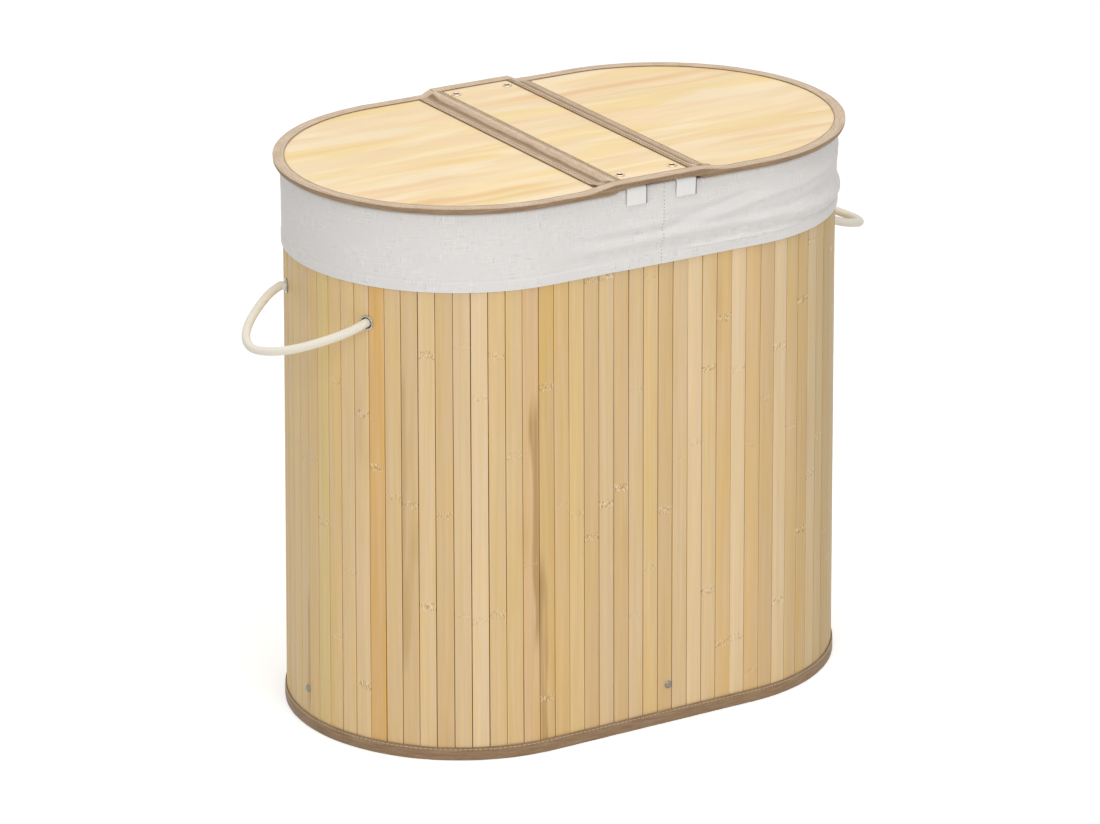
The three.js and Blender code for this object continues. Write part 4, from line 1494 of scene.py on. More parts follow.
@dataclass(frozen=True)
class SlatWalls:
    """Ninety-two flat bamboo slats side by side on a brown backing cloth."""

    oval: Oval
    finishes: Finishes
    slats: int = 92
    first: float = -119.7 * MM
    gap: float = 0.75 * MM
    thickness: float = 2.8 * MM
    backing: float = 0.9 * MM
    bottom: float = 1.7 * MM
    top: float = 584.3 * MM
    hole_radius: float = 6.3 * MM
    hole_ways: tuple[float, ...] = ()
    steps: int = 14
    # a slat's colour, and how often it comes
    palette: tuple[tuple[str, int], ...] = (
        ("e4c695", 5), ("e0c18e", 5), ("e9cda1", 4), ("e4c48c", 4), ("dbbb8a", 4), ("dfbd87", 3),
        ("e0c396", 5), ("ebcd9c", 4),
    )
    tone_seed: int = 35256
    # slats with a colour of their own, by their number
    chosen: tuple[tuple[int, str], ...] = ((-11, "dfb576"), (-15, "e2c78c"), (-1, "dcb97c"), (-2, "dfbb8a"))
    # a slat's number, which side of it is streaked and how strongly, and the streak's lowest and highest point
    streaks: Rows = ((-2, 1.0, 0.125, 0.40), (-1, -1.0, -0.05, 0.23), (-17, 0.7, 0.02, 0.17))
    odd_streaks: float = 0.05
    # painted shade: slats that face away from the light are darker, and those at the left outline darker and
    # warmer: way, width, strength
    dull_place: tuple[float, float, float] = (0.30, 0.10, 0.36)
    warm_shade_place: tuple[float, float, float] = (-0.50, 0.08, 0.15)
    # a wall's name, its first slat and how many it has
    panels: tuple[tuple[str, int, int], ...] = (
        ("front", 0, 14), ("right", 14, 32), ("back", 46, 14), ("left", 60, 32),
    )

    @property
    def pitch(self) -> float:
        """The length from one slat to the next."""
        return self.oval.perimeter / self.slats

    def model_slat(self) -> Piece:
        """Models one slat upright at the origin, with X across it and Y into the wall.

        Returns:
            The slat.
        """
        width = self.pitch - self.gap
        step = (self.top - self.bottom) / self.steps
        slat = started(
            bpy.ops.mesh.primitive_cube_add, "slat", size=1, scale=(width, self.thickness, step),
            location=(0, self.thickness / 2, self.bottom + step / 2),
        )
        bpy.ops.object.transform_apply(location=True, rotation=False, scale=True)
        with editing(slat):
            for level in range(1, self.steps):
                top = self.bottom + level * step - 0.1 * MM
                pick(slat, Element.FACES,
                     lambda face, top=top: face.calc_center_median().z > top and face.normal.z > 0.9)
                bpy.ops.mesh.extrude_region_move(TRANSFORM_OT_translate={"value": (0, 0, step)})
            pick(slat, Element.EDGES, lambda edge: abs(edge.verts[0].co.z - edge.verts[1].co.z) > step / 2)
            bpy.ops.mesh.bevel(offset=0.5 * MM, segments=2, profile=0.6, affect="EDGES")
        return slat

    def slat_tones(self) -> list[str]:
        """Picks every slat's colour, by its number from the front's left end.

        Returns:
            One hex colour for each slat.
        """
        colours, weights = zip(*self.palette)
        tones = random.Random(self.tone_seed).choices(colours, weights, k=self.slats)
        for number, colour in self.chosen:
            tones[number % self.slats] = colour
        return tones

    def shading(self, middle: float) -> tuple[float, float, float, float]:
        """Finds the painted shade that a slat's colour is multiplied by, for where it stands.

        Args:
            middle: The way to the slat's middle.

        Returns:
            The four shares.
        """
        aside = math.remainder(middle, self.oval.perimeter)
        # painted shade: darker where the slats face away from the light, darker and warmer at the left outline
        dull_shade, warm_shade = (most * hump(aside, at, width) for at, width, most in (self.dull_place, self.warm_shade_place))
        light = 1.03 - dull_shade - warm_shade
        return light, light, light * (1 - 0.2 * dull_shade - 0.9 * warm_shade), 1.0

    def cut_holes(self, slat: Piece, middle: float) -> None:
        """Cuts the eyelets' holes that fall on a slat.

        Args:
            slat: The slat, upright at the origin.
            middle: The way to its middle.
        """
        for way in self.hole_ways:
            aside = math.remainder(way - middle, self.oval.perimeter)
            if abs(aside) <= self.pitch / 2 + self.hole_radius:
                place = Matrix.Translation((aside, 0, HANDLE_HEIGHT)) @ Matrix.Rotation(math.pi / 2, 4, "X")
                drilled(slat, place, self.hole_radius)

    def model_slats(self) -> dict[int, Piece]:
        """Models every slat in its place.

        Returns:
            The slats.
        """
        dice = random.Random(17)
        pattern = self.model_slat()
        tones = self.slat_tones()
        streaks = {number % self.slats: streak for number, *streak in self.streaks}
        made = {}
        for index in range(self.slats):
            middle = self.first + (index + 0.5) * self.pitch
            slat = copied(pattern, f"slat_{index}", Matrix.Identity(4))
            points = points_of(slat)
            seed = dice.random()
            side = np.sign(points[:, 0]) * 5
            grain = np.stack([points[:, 2] / 0.11, side, np.full(len(points), seed * 50)], axis=1)
            wander = soft_noise(grain, (1, 1, 1), 0.5)
            points[:, 0] *= 1 + dice.uniform(-0.02, 0.015) + 0.014 * wander
            points[:, 1] += dice.uniform(0, 0.3) * MM
            points[:, 0] += (points[:, 2] - 0.3) * dice.uniform(-0.0007, 0.0007)
            set_points(slat, points)
            self.cut_holes(slat, middle)
            points = points_of(slat)
            set_ways(slat, points[:, [0, 2]])
            set_attribute(slat, "seed", [seed])
            # the slat's own colour times the painted shade for where it stands
            tone = [part * share for part, share in zip(srgb(tones[index]), self.shading(middle))]
            set_attribute(slat, "tone", tone, "FLOAT_COLOR")
            joint = dice.uniform(0.02, 0.34)
            joints = [joint, joint + dice.uniform(0.24, 0.36), joint + dice.uniform(0.5, 0.7)]
            set_attribute(slat, "joints", joints, "FLOAT_VECTOR")
            set_attribute(slat, "mark", [dice.choice((0.25, 0.4, 0.6, 0.8, 1.0))])
            drawn = (dice.choice((-0.5, 0.5)), dice.uniform(-0.1, 0.3), dice.uniform(0.3, 0.6))
            odd = dice.random() < self.odd_streaks and abs(index - 8) > 12
            set_attribute(slat, "streak", streaks.get(index, drawn if odd else (0.0, 0.0, 0.0)), "FLOAT_VECTOR")
            slat.data.transform(self.oval.wall_place(middle, self.oval.face_radius, 0))
            set_points(slat, self.oval.leaned(points_of(slat)))
            made[index] = slat
        removed(pattern)
        return made

    def build_backing(self) -> None:
        """Builds the brown cloth behind the slats, with holes for the eyelets."""
        radius = self.oval.face_radius - self.thickness - 0.4 * MM

        def place(along: np.ndarray, across: np.ndarray) -> Pair:
            """Wraps the grid round the oval.

            Args:
                along: Shares along the sheet.
                across: Shares across the sheet.

            Returns:
                The points, and their ways in metres.
            """
            way = along * self.oval.perimeter
            height = self.bottom + across * (self.top - self.bottom)
            flat, _ = self.oval.places(way, radius + self.oval.leaning(height))
            return np.column_stack([flat, height]), np.stack([way, height], axis=1)

        cloth = sheet_grid("wall_backing_cloth", 240, 20, place, closed=True)
        recalculated(cloth)
        with_modifier(cloth, "SOLIDIFY", thickness=self.backing, offset=-1, use_even_offset=True)
        for way in self.hole_ways:
            drilled(cloth, self.oval.seat(way, radius, HANDLE_HEIGHT), self.hole_radius)
        smoothed(cloth)
        finished(cloth, self.finishes.backing, BODY)

    def build(self) -> None:
        """Builds the four wall panels and their backing."""
        slats = self.model_slats()
        for panel, start, count in self.panels:
            wall = joined([slats[i] for i in range(start, start + count)], f"bamboo_wall_{panel}")
            smoothed(wall, 40)
            finished(wall, self.finishes.slat, BODY, [f"slat_wall_{panel}"])
        self.build_backing()


@dataclass(frozen=True)
class Bindings:
    """Folded tape over every raw edge: the base, the rim, the two lids and the band between them."""

    oval: Oval
    finishes: Finishes
    straight_step: float = 6 * MM
    end_steps: int = 72
    band_half: float = 47.5 * MM
    band_rise: float = 5 * MM
    board_edge: tuple[float, float] = (589.3 * MM, 593.3 * MM)
    front_lift: float = 42 * MM
    back_lift: float = 11 * MM
    droop: float = 1.7 * MM
    pucker: float = 0.22 * MM
    clear_of_floor: float = 0.05 * MM
    plain_fade: float = 0.32
    stitch_pitch: float = 5.0 * MM
    stitch_height: float = 12.1 * MM
    # each section's corners in millimetres: out from the oval's middle line, up, and their rounding
    base_section: Rows = (
        (182.5, 14.5, 0.5), (182.1, 12.1, 0.8), (182.75, 9.0, 1.5), (182.7, 0.0, 1.6), (175.3, 0.0, 1.6),
        (175.3, 9.0, 1.5), (175.8, 12.1, 0.8), (175.5, 14.5, 0.5), (176.6, 14.3, 0.3), (176.6, 1.6, 0.4),
        (181.3, 1.6, 0.4), (181.2, 14.3, 0.3),
    )
    rim_section: Rows = (
        (181.9, 570.0, 0.4), (181.8, 572.4, 0.6), (182.05, 576.0, 1.2), (182.05, 585.9, 1.8),
        (175.3, 585.9, 1.8), (175.3, 576.0, 1.5), (175.8, 572.4, 0.8), (175.5, 570.0, 0.5),
        (176.7, 570.2, 0.3), (176.7, 584.4, 0.4), (181.3, 584.4, 0.4), (181.3, 570.2, 0.3),
    )
    lid_section: Rows = (
        (190.0, 594.9, 0.8), (190.05, 593.6, 0.0), (189.9, 591.2, 0.9), (188.7, 588.6, 0.8), (184.5, 588.5, 1.5),
        (179.2, 588.5, 0.3), (179.3, 589.1, 0.2), (188.2, 589.1, 0.3), (188.3, 593.5, 0.3), (178.4, 593.5, 0.2),
        (178.0, 594.4, 0.3), (180.0, 594.15, 0.7), (182.6, 594.6, 1.2), (186.4, 594.9, 2.0),
    )

    def swept(self, name: str, section: Rows, start: float, moves: Sequence[tuple[Move, float]]) -> Piece:
        """Sweeps a section along the oval by extruding and spinning it.

        Args:
            name: The piece's name.
            section: The section's corners.
            start: Where along X the sweep starts on the front side.
            moves: Each move, with its length along X or with the sign of the end that it goes round.

        Returns:
            The swept piece, open at its ends.
        """
        outline = rounded(section)
        piece = started(bpy.ops.mesh.primitive_circle_add, name, vertices=len(outline), fill_type="NOTHING")
        set_points(piece, np.array([(start, -out * MM, up * MM) for out, up in outline]))
        with editing(piece):
            bpy.ops.mesh.select_all(action="SELECT")
            for move, amount in moves:
                if move is Move.STRAIGHT:
                    count = max(1, round(abs(amount) / self.straight_step))
                    for _ in range(count):
                        bpy.ops.mesh.extrude_region_move(TRANSFORM_OT_translate={"value": (amount / count, 0, 0)})
                else:
                    centre = (math.copysign(self.oval.straight_half, amount), 0, 0)
                    angle = move.value * math.pi
                    bpy.ops.mesh.spin(steps=self.end_steps, angle=angle, center=centre, axis=(0, 0, 1))
        return piece

    def ruffled(self, piece: Piece, seed: float, amount: float = 1.0) -> None:
        """Puckers the tape a little along its length, where the needle drew it in.

        Args:
            piece: The swept tape.
            seed: Where in the noise the puckers are read.
            amount: Their share of the usual depth.
        """
        points = points_of(piece)
        way, radius = self.oval.ways(points)
        set_ways(piece, np.stack([way, points[:, 2] - radius], axis=1))
        field = np.stack([way, radius * 0.4, points[:, 2]], axis=1)
        out = soft_noise(field, (9 * MM, 6 * MM, 6 * MM), seed)
        out += 0.6 * soft_noise(field, (31 * MM, 9 * MM, 9 * MM), seed + 9)
        lift = soft_noise(field, (13 * MM, 5 * MM, 6 * MM), seed + 20)
        _, normal = self.oval.places(way, radius)
        depth = self.pucker * amount
        points[:, :2] += normal * (out * depth)[:, None]
        points[:, 2] = np.maximum(points[:, 2] + lift * depth * 0.8, self.clear_of_floor)
        set_points(piece, points)
        welded(piece)
        capped(piece)
        recalculated(piece)
        smoothed(piece, 50)

    def painted_light(self, points: np.ndarray, rise: float) -> np.ndarray:
        """Works out the painted light and shade on a lid's tape: light on its top, and painted shade
        down its side and along its inner cut edge.

        Args:
            points: The tape's points.
            rise: How far the tape is raised above a lid's.

        Returns:
            One number for each point: one on the painted-light top, nought at the painted-shade side and cut
                edges.
        """
        _, radius = self.oval.ways(points)
        top = smooth_step(points[:, 2] - rise, 593.5 * MM, 594.2 * MM)
        edge = smooth_step(radius, 178.1 * MM, 179.8 * MM)
        return 0.36 + (0.62 * edge - 0.1) * top

    def lifted(self, points: np.ndarray) -> np.ndarray:
        """Says how far a lid's tape has risen to the band, slowly on the front side and fast on the back."""
        reach = np.where(points[:, 1] < 0, self.front_lift, self.back_lift)
        return smooth_step((self.band_half + reach - np.abs(points[:, 0])) / (reach + 1 * MM), 0, 1)

    def build_base_and_rim(self) -> None:
        """Builds the tapes that run all the way round."""
        half = self.oval.straight_half
        all_round = ((Move.STRAIGHT, 2 * half), (Move.SPIN, 1), (Move.STRAIGHT, -2 * half), (Move.SPIN, -1))
        for name, section, node, seed in (
            ("base_tape", self.base_section, "base_binding", 3.0),
            ("rim_tape", self.rim_section, "rim_binding", 5.0),
        ):
            tape = self.swept(name, section, -half, all_round)
            points = points_of(tape)
            set_attribute(tape, "fade", [self.plain_fade])
            outer = self.oval.ways(points)[1] > self.oval.face_radius - 2 * MM
            set_points(tape, np.where(outer[:, None], self.oval.leaned(points), points))
            self.ruffled(tape, seed)
            finished(tape, self.finishes.tape, BODY, [node])

    def build_lid_tapes(self) -> None:
        """Builds each lid's tape, which steps up to the band at both hinges."""
        half = self.oval.straight_half
        reach = half - self.band_half + 1.5 * MM
        for side, name in ((-1, "left"), (1, "right")):
            spin = Move.SPIN if side > 0 else Move.UNSPIN
            moves = ((Move.STRAIGHT, side * reach), (spin, side), (Move.STRAIGHT, -side * reach))
            tape = self.swept(f"lid_tape_{name}", self.lid_section, side * (half - reach), moves)
            points = points_of(tape)
            # painted light on the tape's top, painted shade down its side and along its inner cut edge
            set_attribute(tape, "fade", self.painted_light(points, 0.0))
            high = self.lifted(points)
            upper = smooth_step(points[:, 2], *self.board_edge)
            gather = 4 * high * (1 - high)
            low = smooth_step(self.band_half + 8 * MM - np.abs(points[:, 0]), 0, 9 * MM)
            points[:, 2] += upper * (high * self.band_rise + gather * 0.3 * MM * np.sin(points[:, 1] * 900))
            points[:, 2] += (1 - upper) * low * (self.band_rise - self.droop)
            set_points(tape, points)
            self.ruffled(tape, 7.0 + side, 1.15)
            finished(tape, self.finishes.lid_tape, None, [f"lid_binding_{name}"])
            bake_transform(tape)

    def build_band_tapes(self) -> None:
        """Builds the tapes on the band's two short ends."""
        rise = self.band_rise / MM
        section = [(out + (0.12 if out > 185 else -0.1), up + rise + (0.08 if up > 591 else -0.06), cut)
                   for out, up, cut in self.lid_section]
        for turn, name, seed in ((0, "front", 12.0), (math.pi, "back", 15.0)):
            along = ((Move.STRAIGHT, 2 * self.band_half),)
            tape = self.swept(f"band_tape_{name}", section, -self.band_half, along)
            points = points_of(tape)
            # painted light on the tape's top, painted shade down its side and along its inner cut edge
            set_attribute(tape, "fade", self.painted_light(points, self.band_rise))
            ends = smooth_step(np.abs(points[:, 0]), 30 * MM, self.band_half)
            under = 1 - smooth_step(points[:, 2] - self.band_rise, *self.board_edge)
            points[:, 2] -= self.droop * ends * under
            set_points(tape, points)
            tape.data.transform(Matrix.Rotation(turn, 4, "Z"))
            self.ruffled(tape, seed)
            finished(tape, self.finishes.lid_tape, BODY, [f"band_binding_{name}"])

    def build_stitches(self) -> None:
        """Sews the base tape with small pale stitches."""
        count = int(self.oval.perimeter / self.stitch_pitch)
        radius = 182.25 * MM + self.oval.leaning(self.stitch_height)
        ways = (index * self.oval.perimeter / count for index in range(count))
        row = stitched("base_tape_stitches", [self.oval.seat(way, radius, self.stitch_height) for way in ways])
        finished(row, self.finishes.brown_thread, BODY)

    def build(self) -> None:
        """Builds every binding."""
        self.build_base_and_rim()
        self.build_lid_tapes()
        self.build_band_tapes()
        self.build_stitches()


@dataclass(frozen=True)
class HingeTapes:
    """Two strips of tape that join the lids to the raised band and fold as hinges."""

    finishes: Finishes
    bindings: Bindings
    half_length: float = 178.7 * MM
    thickness: float = 1.0 * MM
    # the tape's section in millimetres: out from the middle of the band, and up
    path: Rows = (
        (40.0, 599.05), (43.0, 599.1), (45.6, 599.15), (47.2, 599.0), (48.6, 598.0), (49.8, 596.2),
        (51.0, 594.4), (52.6, 593.5), (54.6, 593.95), (57.0, 594.5), (60.0, 594.55), (62.5, 594.2), (67.0, 594.05),
    )
    # how far out in millimetres, and how much painted light is there: palest over the band's edge and
    # on the flat strips, with painted shade in the crease and along both cut edges
    light_and_shade: Rows = (
        (40.0, 0.0), (40.7, 0.7), (43.1, 0.55), (45.2, 0.75), (47.5, 1.0), (50.2, 1.0), (51.5, 0.35), (53.0, 0.2),
        (56.0, 0.28), (58.5, 0.5), (60.0, 0.8), (66.2, 0.78), (67.0, 0.0),
    )
    crease: float = 51.0 * MM
    crease_width: float = 3.2 * MM
    row_depth: float = 0.22 * MM
    row_width: float = 0.7 * MM
    # the stitch rows, in millimetres out from the middle of the band
    band_rows: tuple[float, ...] = (41.5, 45.0)
    lid_rows: tuple[float, ...] = (61.4, 65.3)

    def surface(self, across: np.ndarray) -> Pair:
        """Finds places of the tape's path, at shares of its length.

        Args:
            across: Shares across the sheet.

        Returns:
            How far out from the band's middle they are, and how high.
        """
        path = np.array(self.path) * MM
        lengths = lengths_along(path)
        target = across * lengths[-1]
        fine = np.linspace(0, lengths[-1], 120)
        x, z = (np.interp(fine, lengths, path[:, k]) for k in (0, 1))
        kernel = np.hanning(9) / np.hanning(9).sum()
        for line in (x, z):
            line[4:-4] = np.convolve(line, kernel, "same")[4:-4]
        return np.interp(target, fine, x), np.interp(target, fine, z)

    def build_tape(self, side: int, name: str) -> None:
        """Builds one tape with its four rows of stitches.

        Args:
            side: Minus one for the left hinge and one for the right.
            name: The lid's name.
        """

        def place(along: np.ndarray, across: np.ndarray) -> Pair:
            """Lays the grid along the hinge.

            Args:
                along: Shares along the sheet.
                across: Shares across the sheet.

            Returns:
                The points, and their ways in metres.
            """
            y = (along - 0.5) * 2 * self.half_length
            x, z = self.surface(across)
            field = np.stack([y, x, z], axis=1)
            crease = hump(x, self.crease, self.crease_width)
            wave = soft_noise(field, (26 * MM, 9 * MM, 30 * MM), 2.0 + side)
            fine = soft_noise(field, (7 * MM, 4 * MM, 30 * MM), 6.0 + side)
            z = z + wave * crease * 0.55 * MM + fine * 0.12 * MM
            ends = smooth_step(np.abs(y), 160 * MM, 176 * MM)
            bound = np.stack([x, y * -side, z], axis=1)
            z = z + ends * np.maximum(594.2 * MM + self.bindings.lifted(bound) * self.bindings.band_rise - z, 0)
            for row in (*self.band_rows, *self.lid_rows):
                z = z - self.row_depth * hump(x, row * MM, self.row_width)
            return np.stack([side * x, y * -side, z], axis=1), np.stack([y * -side, x], axis=1)

        tape = sheet_grid(f"hinge_tape_{name}", 120, 50, place)
        outs, light_and_shade = np.array(self.light_and_shade).T
        # painted light on the tape's folds, painted shade in its crease and along its cut edges
        set_attribute(tape, "fade", np.interp(np.abs(points_of(tape)[:, 0]), outs * MM, light_and_shade))
        recalculated(tape)
        with_modifier(tape, "SOLIDIFY", thickness=self.thickness, offset=0)
        smoothed(tape, 50)
        finished(tape, self.finishes.hinge_tape, None,
                 [f"hinge_tape_{name}_on_lid", f"hinge_tape_{name}_on_band"])
        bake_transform(tape)
        for rows, body, label in ((self.band_rows, BODY, "band"), (self.lid_rows, f"{name}_lid", "lid")):
            places = []
            for row in rows:
                level = float(np.interp(row, *zip(*self.path))) * MM + self.thickness / 2
                line = [Vector((side * row * MM, y, level)) for y in np.linspace(-33, 33, 67) * STITCH_PITCH]
                places += seam_frames(line, [Vector((0, 0, 1))] * len(line), STITCH_PITCH)
            stitches = stitched(f"hinge_stitches_{name}_{label}", places)
            finished(stitches, self.finishes.brown_thread, body)

    def build(self) -> None:
        """Builds both hinge tapes."""
        self.build_tape(-1, "left")
        self.build_tape(1, "right")


@dataclass(frozen=True)
class LinerCuff:
    """The liner's top, folded over the rim and hanging outside, with its hem and one seam."""

    oval: Oval
    finishes: Finishes
    hem: float = 504.7 * MM
    hem_height: float = 11 * MM
    inner_hem: float = 546.1 * MM
    columns: int = 540
    cloth: float = 0.7 * MM
    seam: float = 7 * MM
    seam_lean: float = 0.045
    seam_middle: float = 545 * MM
    face: float = 182.2 * MM
    rim: float = 182.5 * MM
    inner_turn: float = 174.45 * MM
    inner_face: float = 174.4 * MM
    corner: float = 2.6 * MM
    top: float = 586.75 * MM
    band_lift: float = 2.8 * MM
    # in millimetres: the way to a wrinkle's middle, its height, half length, half width and depth; and its slope
    wrinkles: Rows = (
        (-5, 533, 85, 5.5, 1.5, 0.01), (-12, 541.5, 85, 3.8, -1.0, 0.0), (8, 549, 80, 4.5, 0.8, 0.02),
        (20, 522.5, 110, 4.6, -1.7, 0.012), (112, 524.5, 45, 4.2, -1.0, 0.1), (62, 554, 58, 4.4, -1.2, 0.2),
        (80, 546.5, 62, 4.4, 1.2, 0.17), (45, 562, 40, 3.4, 0.8, 0.03), (120, 514, 95, 4.2, 1.5, 0.0),
        (178, 520, 85, 3.8, -1.5, -0.05), (190, 529, 95, 5.4, 1.8, -0.04), (205, 540.5, 90, 4.6, -1.3, 0.02),
        (160, 537, 60, 4.6, 0.9, 0.06), (175, 558, 80, 4.4, 0.9, 0.05), (290, 523, 70, 6.0, 0.5, 0.0),
        (520, 532, 110, 5.0, 1.5, 0.03), (560, 545, 90, 4.2, -1.1, 0.04),
        (640, 524, 95, 4.8, 1.4, -0.02), (700, 550, 90, 4.6, 1.0, 0.03), (-690, 536, 100, 5.0, 1.2, 0.03),
        (-660, 524, 80, 4.4, -1.0, 0.02),
    )

    def levels(self) -> Pair:
        """Spaces the rows from the outer hem over the rim to the inner hem.

        Returns:
            The radii and the heights.
        """
        skirt = np.concatenate([
            [self.hem, self.hem + 0.5 * MM], np.arange(self.hem + 2 * MM, 513.5 * MM, 1.9 * MM),
            np.arange(514.0 * MM, 518.0 * MM, 0.8 * MM), np.arange(519 * MM, 583.5 * MM, 2.2 * MM),
        ])
        outer = self.face + (self.rim - self.face) * smooth_step(skirt, 552 * MM, 570 * MM)
        turn = np.linspace(0, math.pi / 2, 6)[1:]
        corner, top = self.corner, self.top
        out_x = self.rim - corner + corner * np.cos(turn)
        out_z = top - corner + corner * np.sin(turn)
        in_x = self.inner_turn + corner - corner * np.sin(turn)
        in_z = top - corner + corner * np.cos(turn)
        inside = np.arange(583.0 * MM, self.inner_hem, -3 * MM)
        radii = np.concatenate([
            outer, out_x, [179 * MM, self.inner_turn + corner], in_x, np.full(len(inside) + 1, self.inner_face),
        ])
        heights = np.concatenate([skirt, out_z, [top, top], in_z, inside, [self.inner_hem]])
        return radii, heights

    def relief(self, way: np.ndarray, height: np.ndarray) -> np.ndarray:
        """Works out how far the skirt stands out of its plain surface.

        Args:
            way: Ways along the wall, from minus to plus half the perimeter.
            height: Heights of the points.

        Returns:
            The depth in metres at each point.
        """
        field = np.stack([way, height, np.zeros_like(way)], axis=1)
        loose = 1 - smooth_step(height, 563 * MM, 580 * MM)
        folded = smooth_step(way, -0.09, 0.03) * (1 - smooth_step(way, 0.20, 0.30))
        hidden = smooth_step(way, 0.35, 0.45) + (1 - smooth_step(way, -0.68, -0.58))
        wrinkled = 0.1 + 0.9 * np.maximum(smooth_step(way, -0.09, 0.03), hidden)
        stand = soft_noise(field, (60 * MM, 190 * MM, 1), 3.3) * 0.35 * MM
        stand += (folded * 2.2 + np.minimum(hidden, 1) * 1.2) * MM
        stand += soft_noise(field, (17 * MM, 13 * MM, 1), 8.1) * 0.12 * MM
        tilted = np.stack([way, height - 0.05 * way, np.zeros_like(way)], axis=1)
        for shift, length, grain, depth in ((4.4, 80, 6.5, 1.1), (9.4, 46, 4.2, 0.6)):
            stand += soft_noise(tilted, (length * MM, grain * MM, 1), shift) * wrinkled * depth * MM
        half = self.oval.perimeter / 2
        for middle, level, length, width, depth, slope in self.wrinkles:
            aside = np.mod(way - middle * MM + half, 2 * half) - half
            along = np.exp(-(aside / (length * MM)) ** 4)
            stand += 2.0 * depth * MM * along * hump(height - slope * aside, level * MM, width * MM)
        end = hump(way, 335 * MM, 80 * MM)
        stand += 1.7 * MM * end * hump(height, 523 * MM, 11 * MM)
        stand -= 1.0 * MM * end * hump(height, 539 * MM, 6 * MM)
        hem_top = self.hem + self.hem_height
        ledge = 1 - smooth_step(height, hem_top - 0.6 * MM, hem_top + 0.4 * MM)
        stand = stand * (1 - 0.6 * ledge) + 0.5 * MM * ledge
        stand -= 0.5 * MM * hump(height, hem_top, 0.9 * MM)
        seam = way - self.seam - self.seam_lean * (height - self.seam_middle)
        stand -= 0.5 * MM * hump(seam, 0, 1.1 * MM)
        stand += 0.3 * MM * smooth_step(seam, 0, 1.2 * MM) * (1 - smooth_step(seam, 8 * MM, 11 * MM))
        puckers = soft_noise(field, (3.4 * MM, 3.0 * MM, 1), 2.2) * hump(seam, 0, 6 * MM)
        ends = hump(height, 508 * MM, 7 * MM) + hump(height, 577 * MM, 7 * MM)
        return stand * loose + puckers * ends * 0.7 * MM

    def build(self) -> None:
        """Builds the cuff as one sheet."""
        radii, heights = self.levels()
        rows = len(radii) - 1
        run = lengths_along(np.stack([radii, heights], axis=1))
        turn_over = int(np.argmax(heights >= 583.4 * MM))

        def place(along: np.ndarray, across: np.ndarray) -> Pair:
            """Wraps the grid round the oval and over the rim.

            Args:
                along: Shares along the sheet.
                across: Shares across the sheet.

            Returns:
                The points, and their ways in metres.
            """
            row = np.rint(across * rows).astype(int)
            way = (along - 0.5) * self.oval.perimeter
            radius, height = radii[row].copy(), heights[row]
            skirt = row <= turn_over
            stand = self.relief(way[skirt], height[skirt])
            radius[skirt] = np.maximum(radius[skirt] + stand, 181.6 * MM)
            field = np.stack([way, heights[row], radii[row]], axis=1)
            inner = radii[row] < 175 * MM
            soft = soft_noise(field, (40 * MM, 30 * MM, 1), 5.5) * 0.35 * MM
            radius = np.where(inner, radius + np.clip(soft, -0.4 * MM, 0.3 * MM), radius)
            flat, _ = self.oval.places(way, radius)
            under_band = 1 - smooth_step(np.abs(flat[:, 0]), 44 * MM, 49 * MM)
            height = height + self.band_lift * under_band * smooth_step(height, 570 * MM, 584 * MM)
            leaning = way - self.seam_lean * (heights[row] - self.seam_middle)
            return np.column_stack([flat, height]), np.stack([leaning, run[row]], axis=1)

        cuff = sheet_grid("liner_cuff_cloth", self.columns, rows, place, closed=True)
        recalculated(cuff)
        with_modifier(cuff, "SOLIDIFY", thickness=self.cloth, offset=0)
        smoothed(cuff, 60)
        finished(cuff, self.finishes.cuff, BODY, ["liner_cuff"])


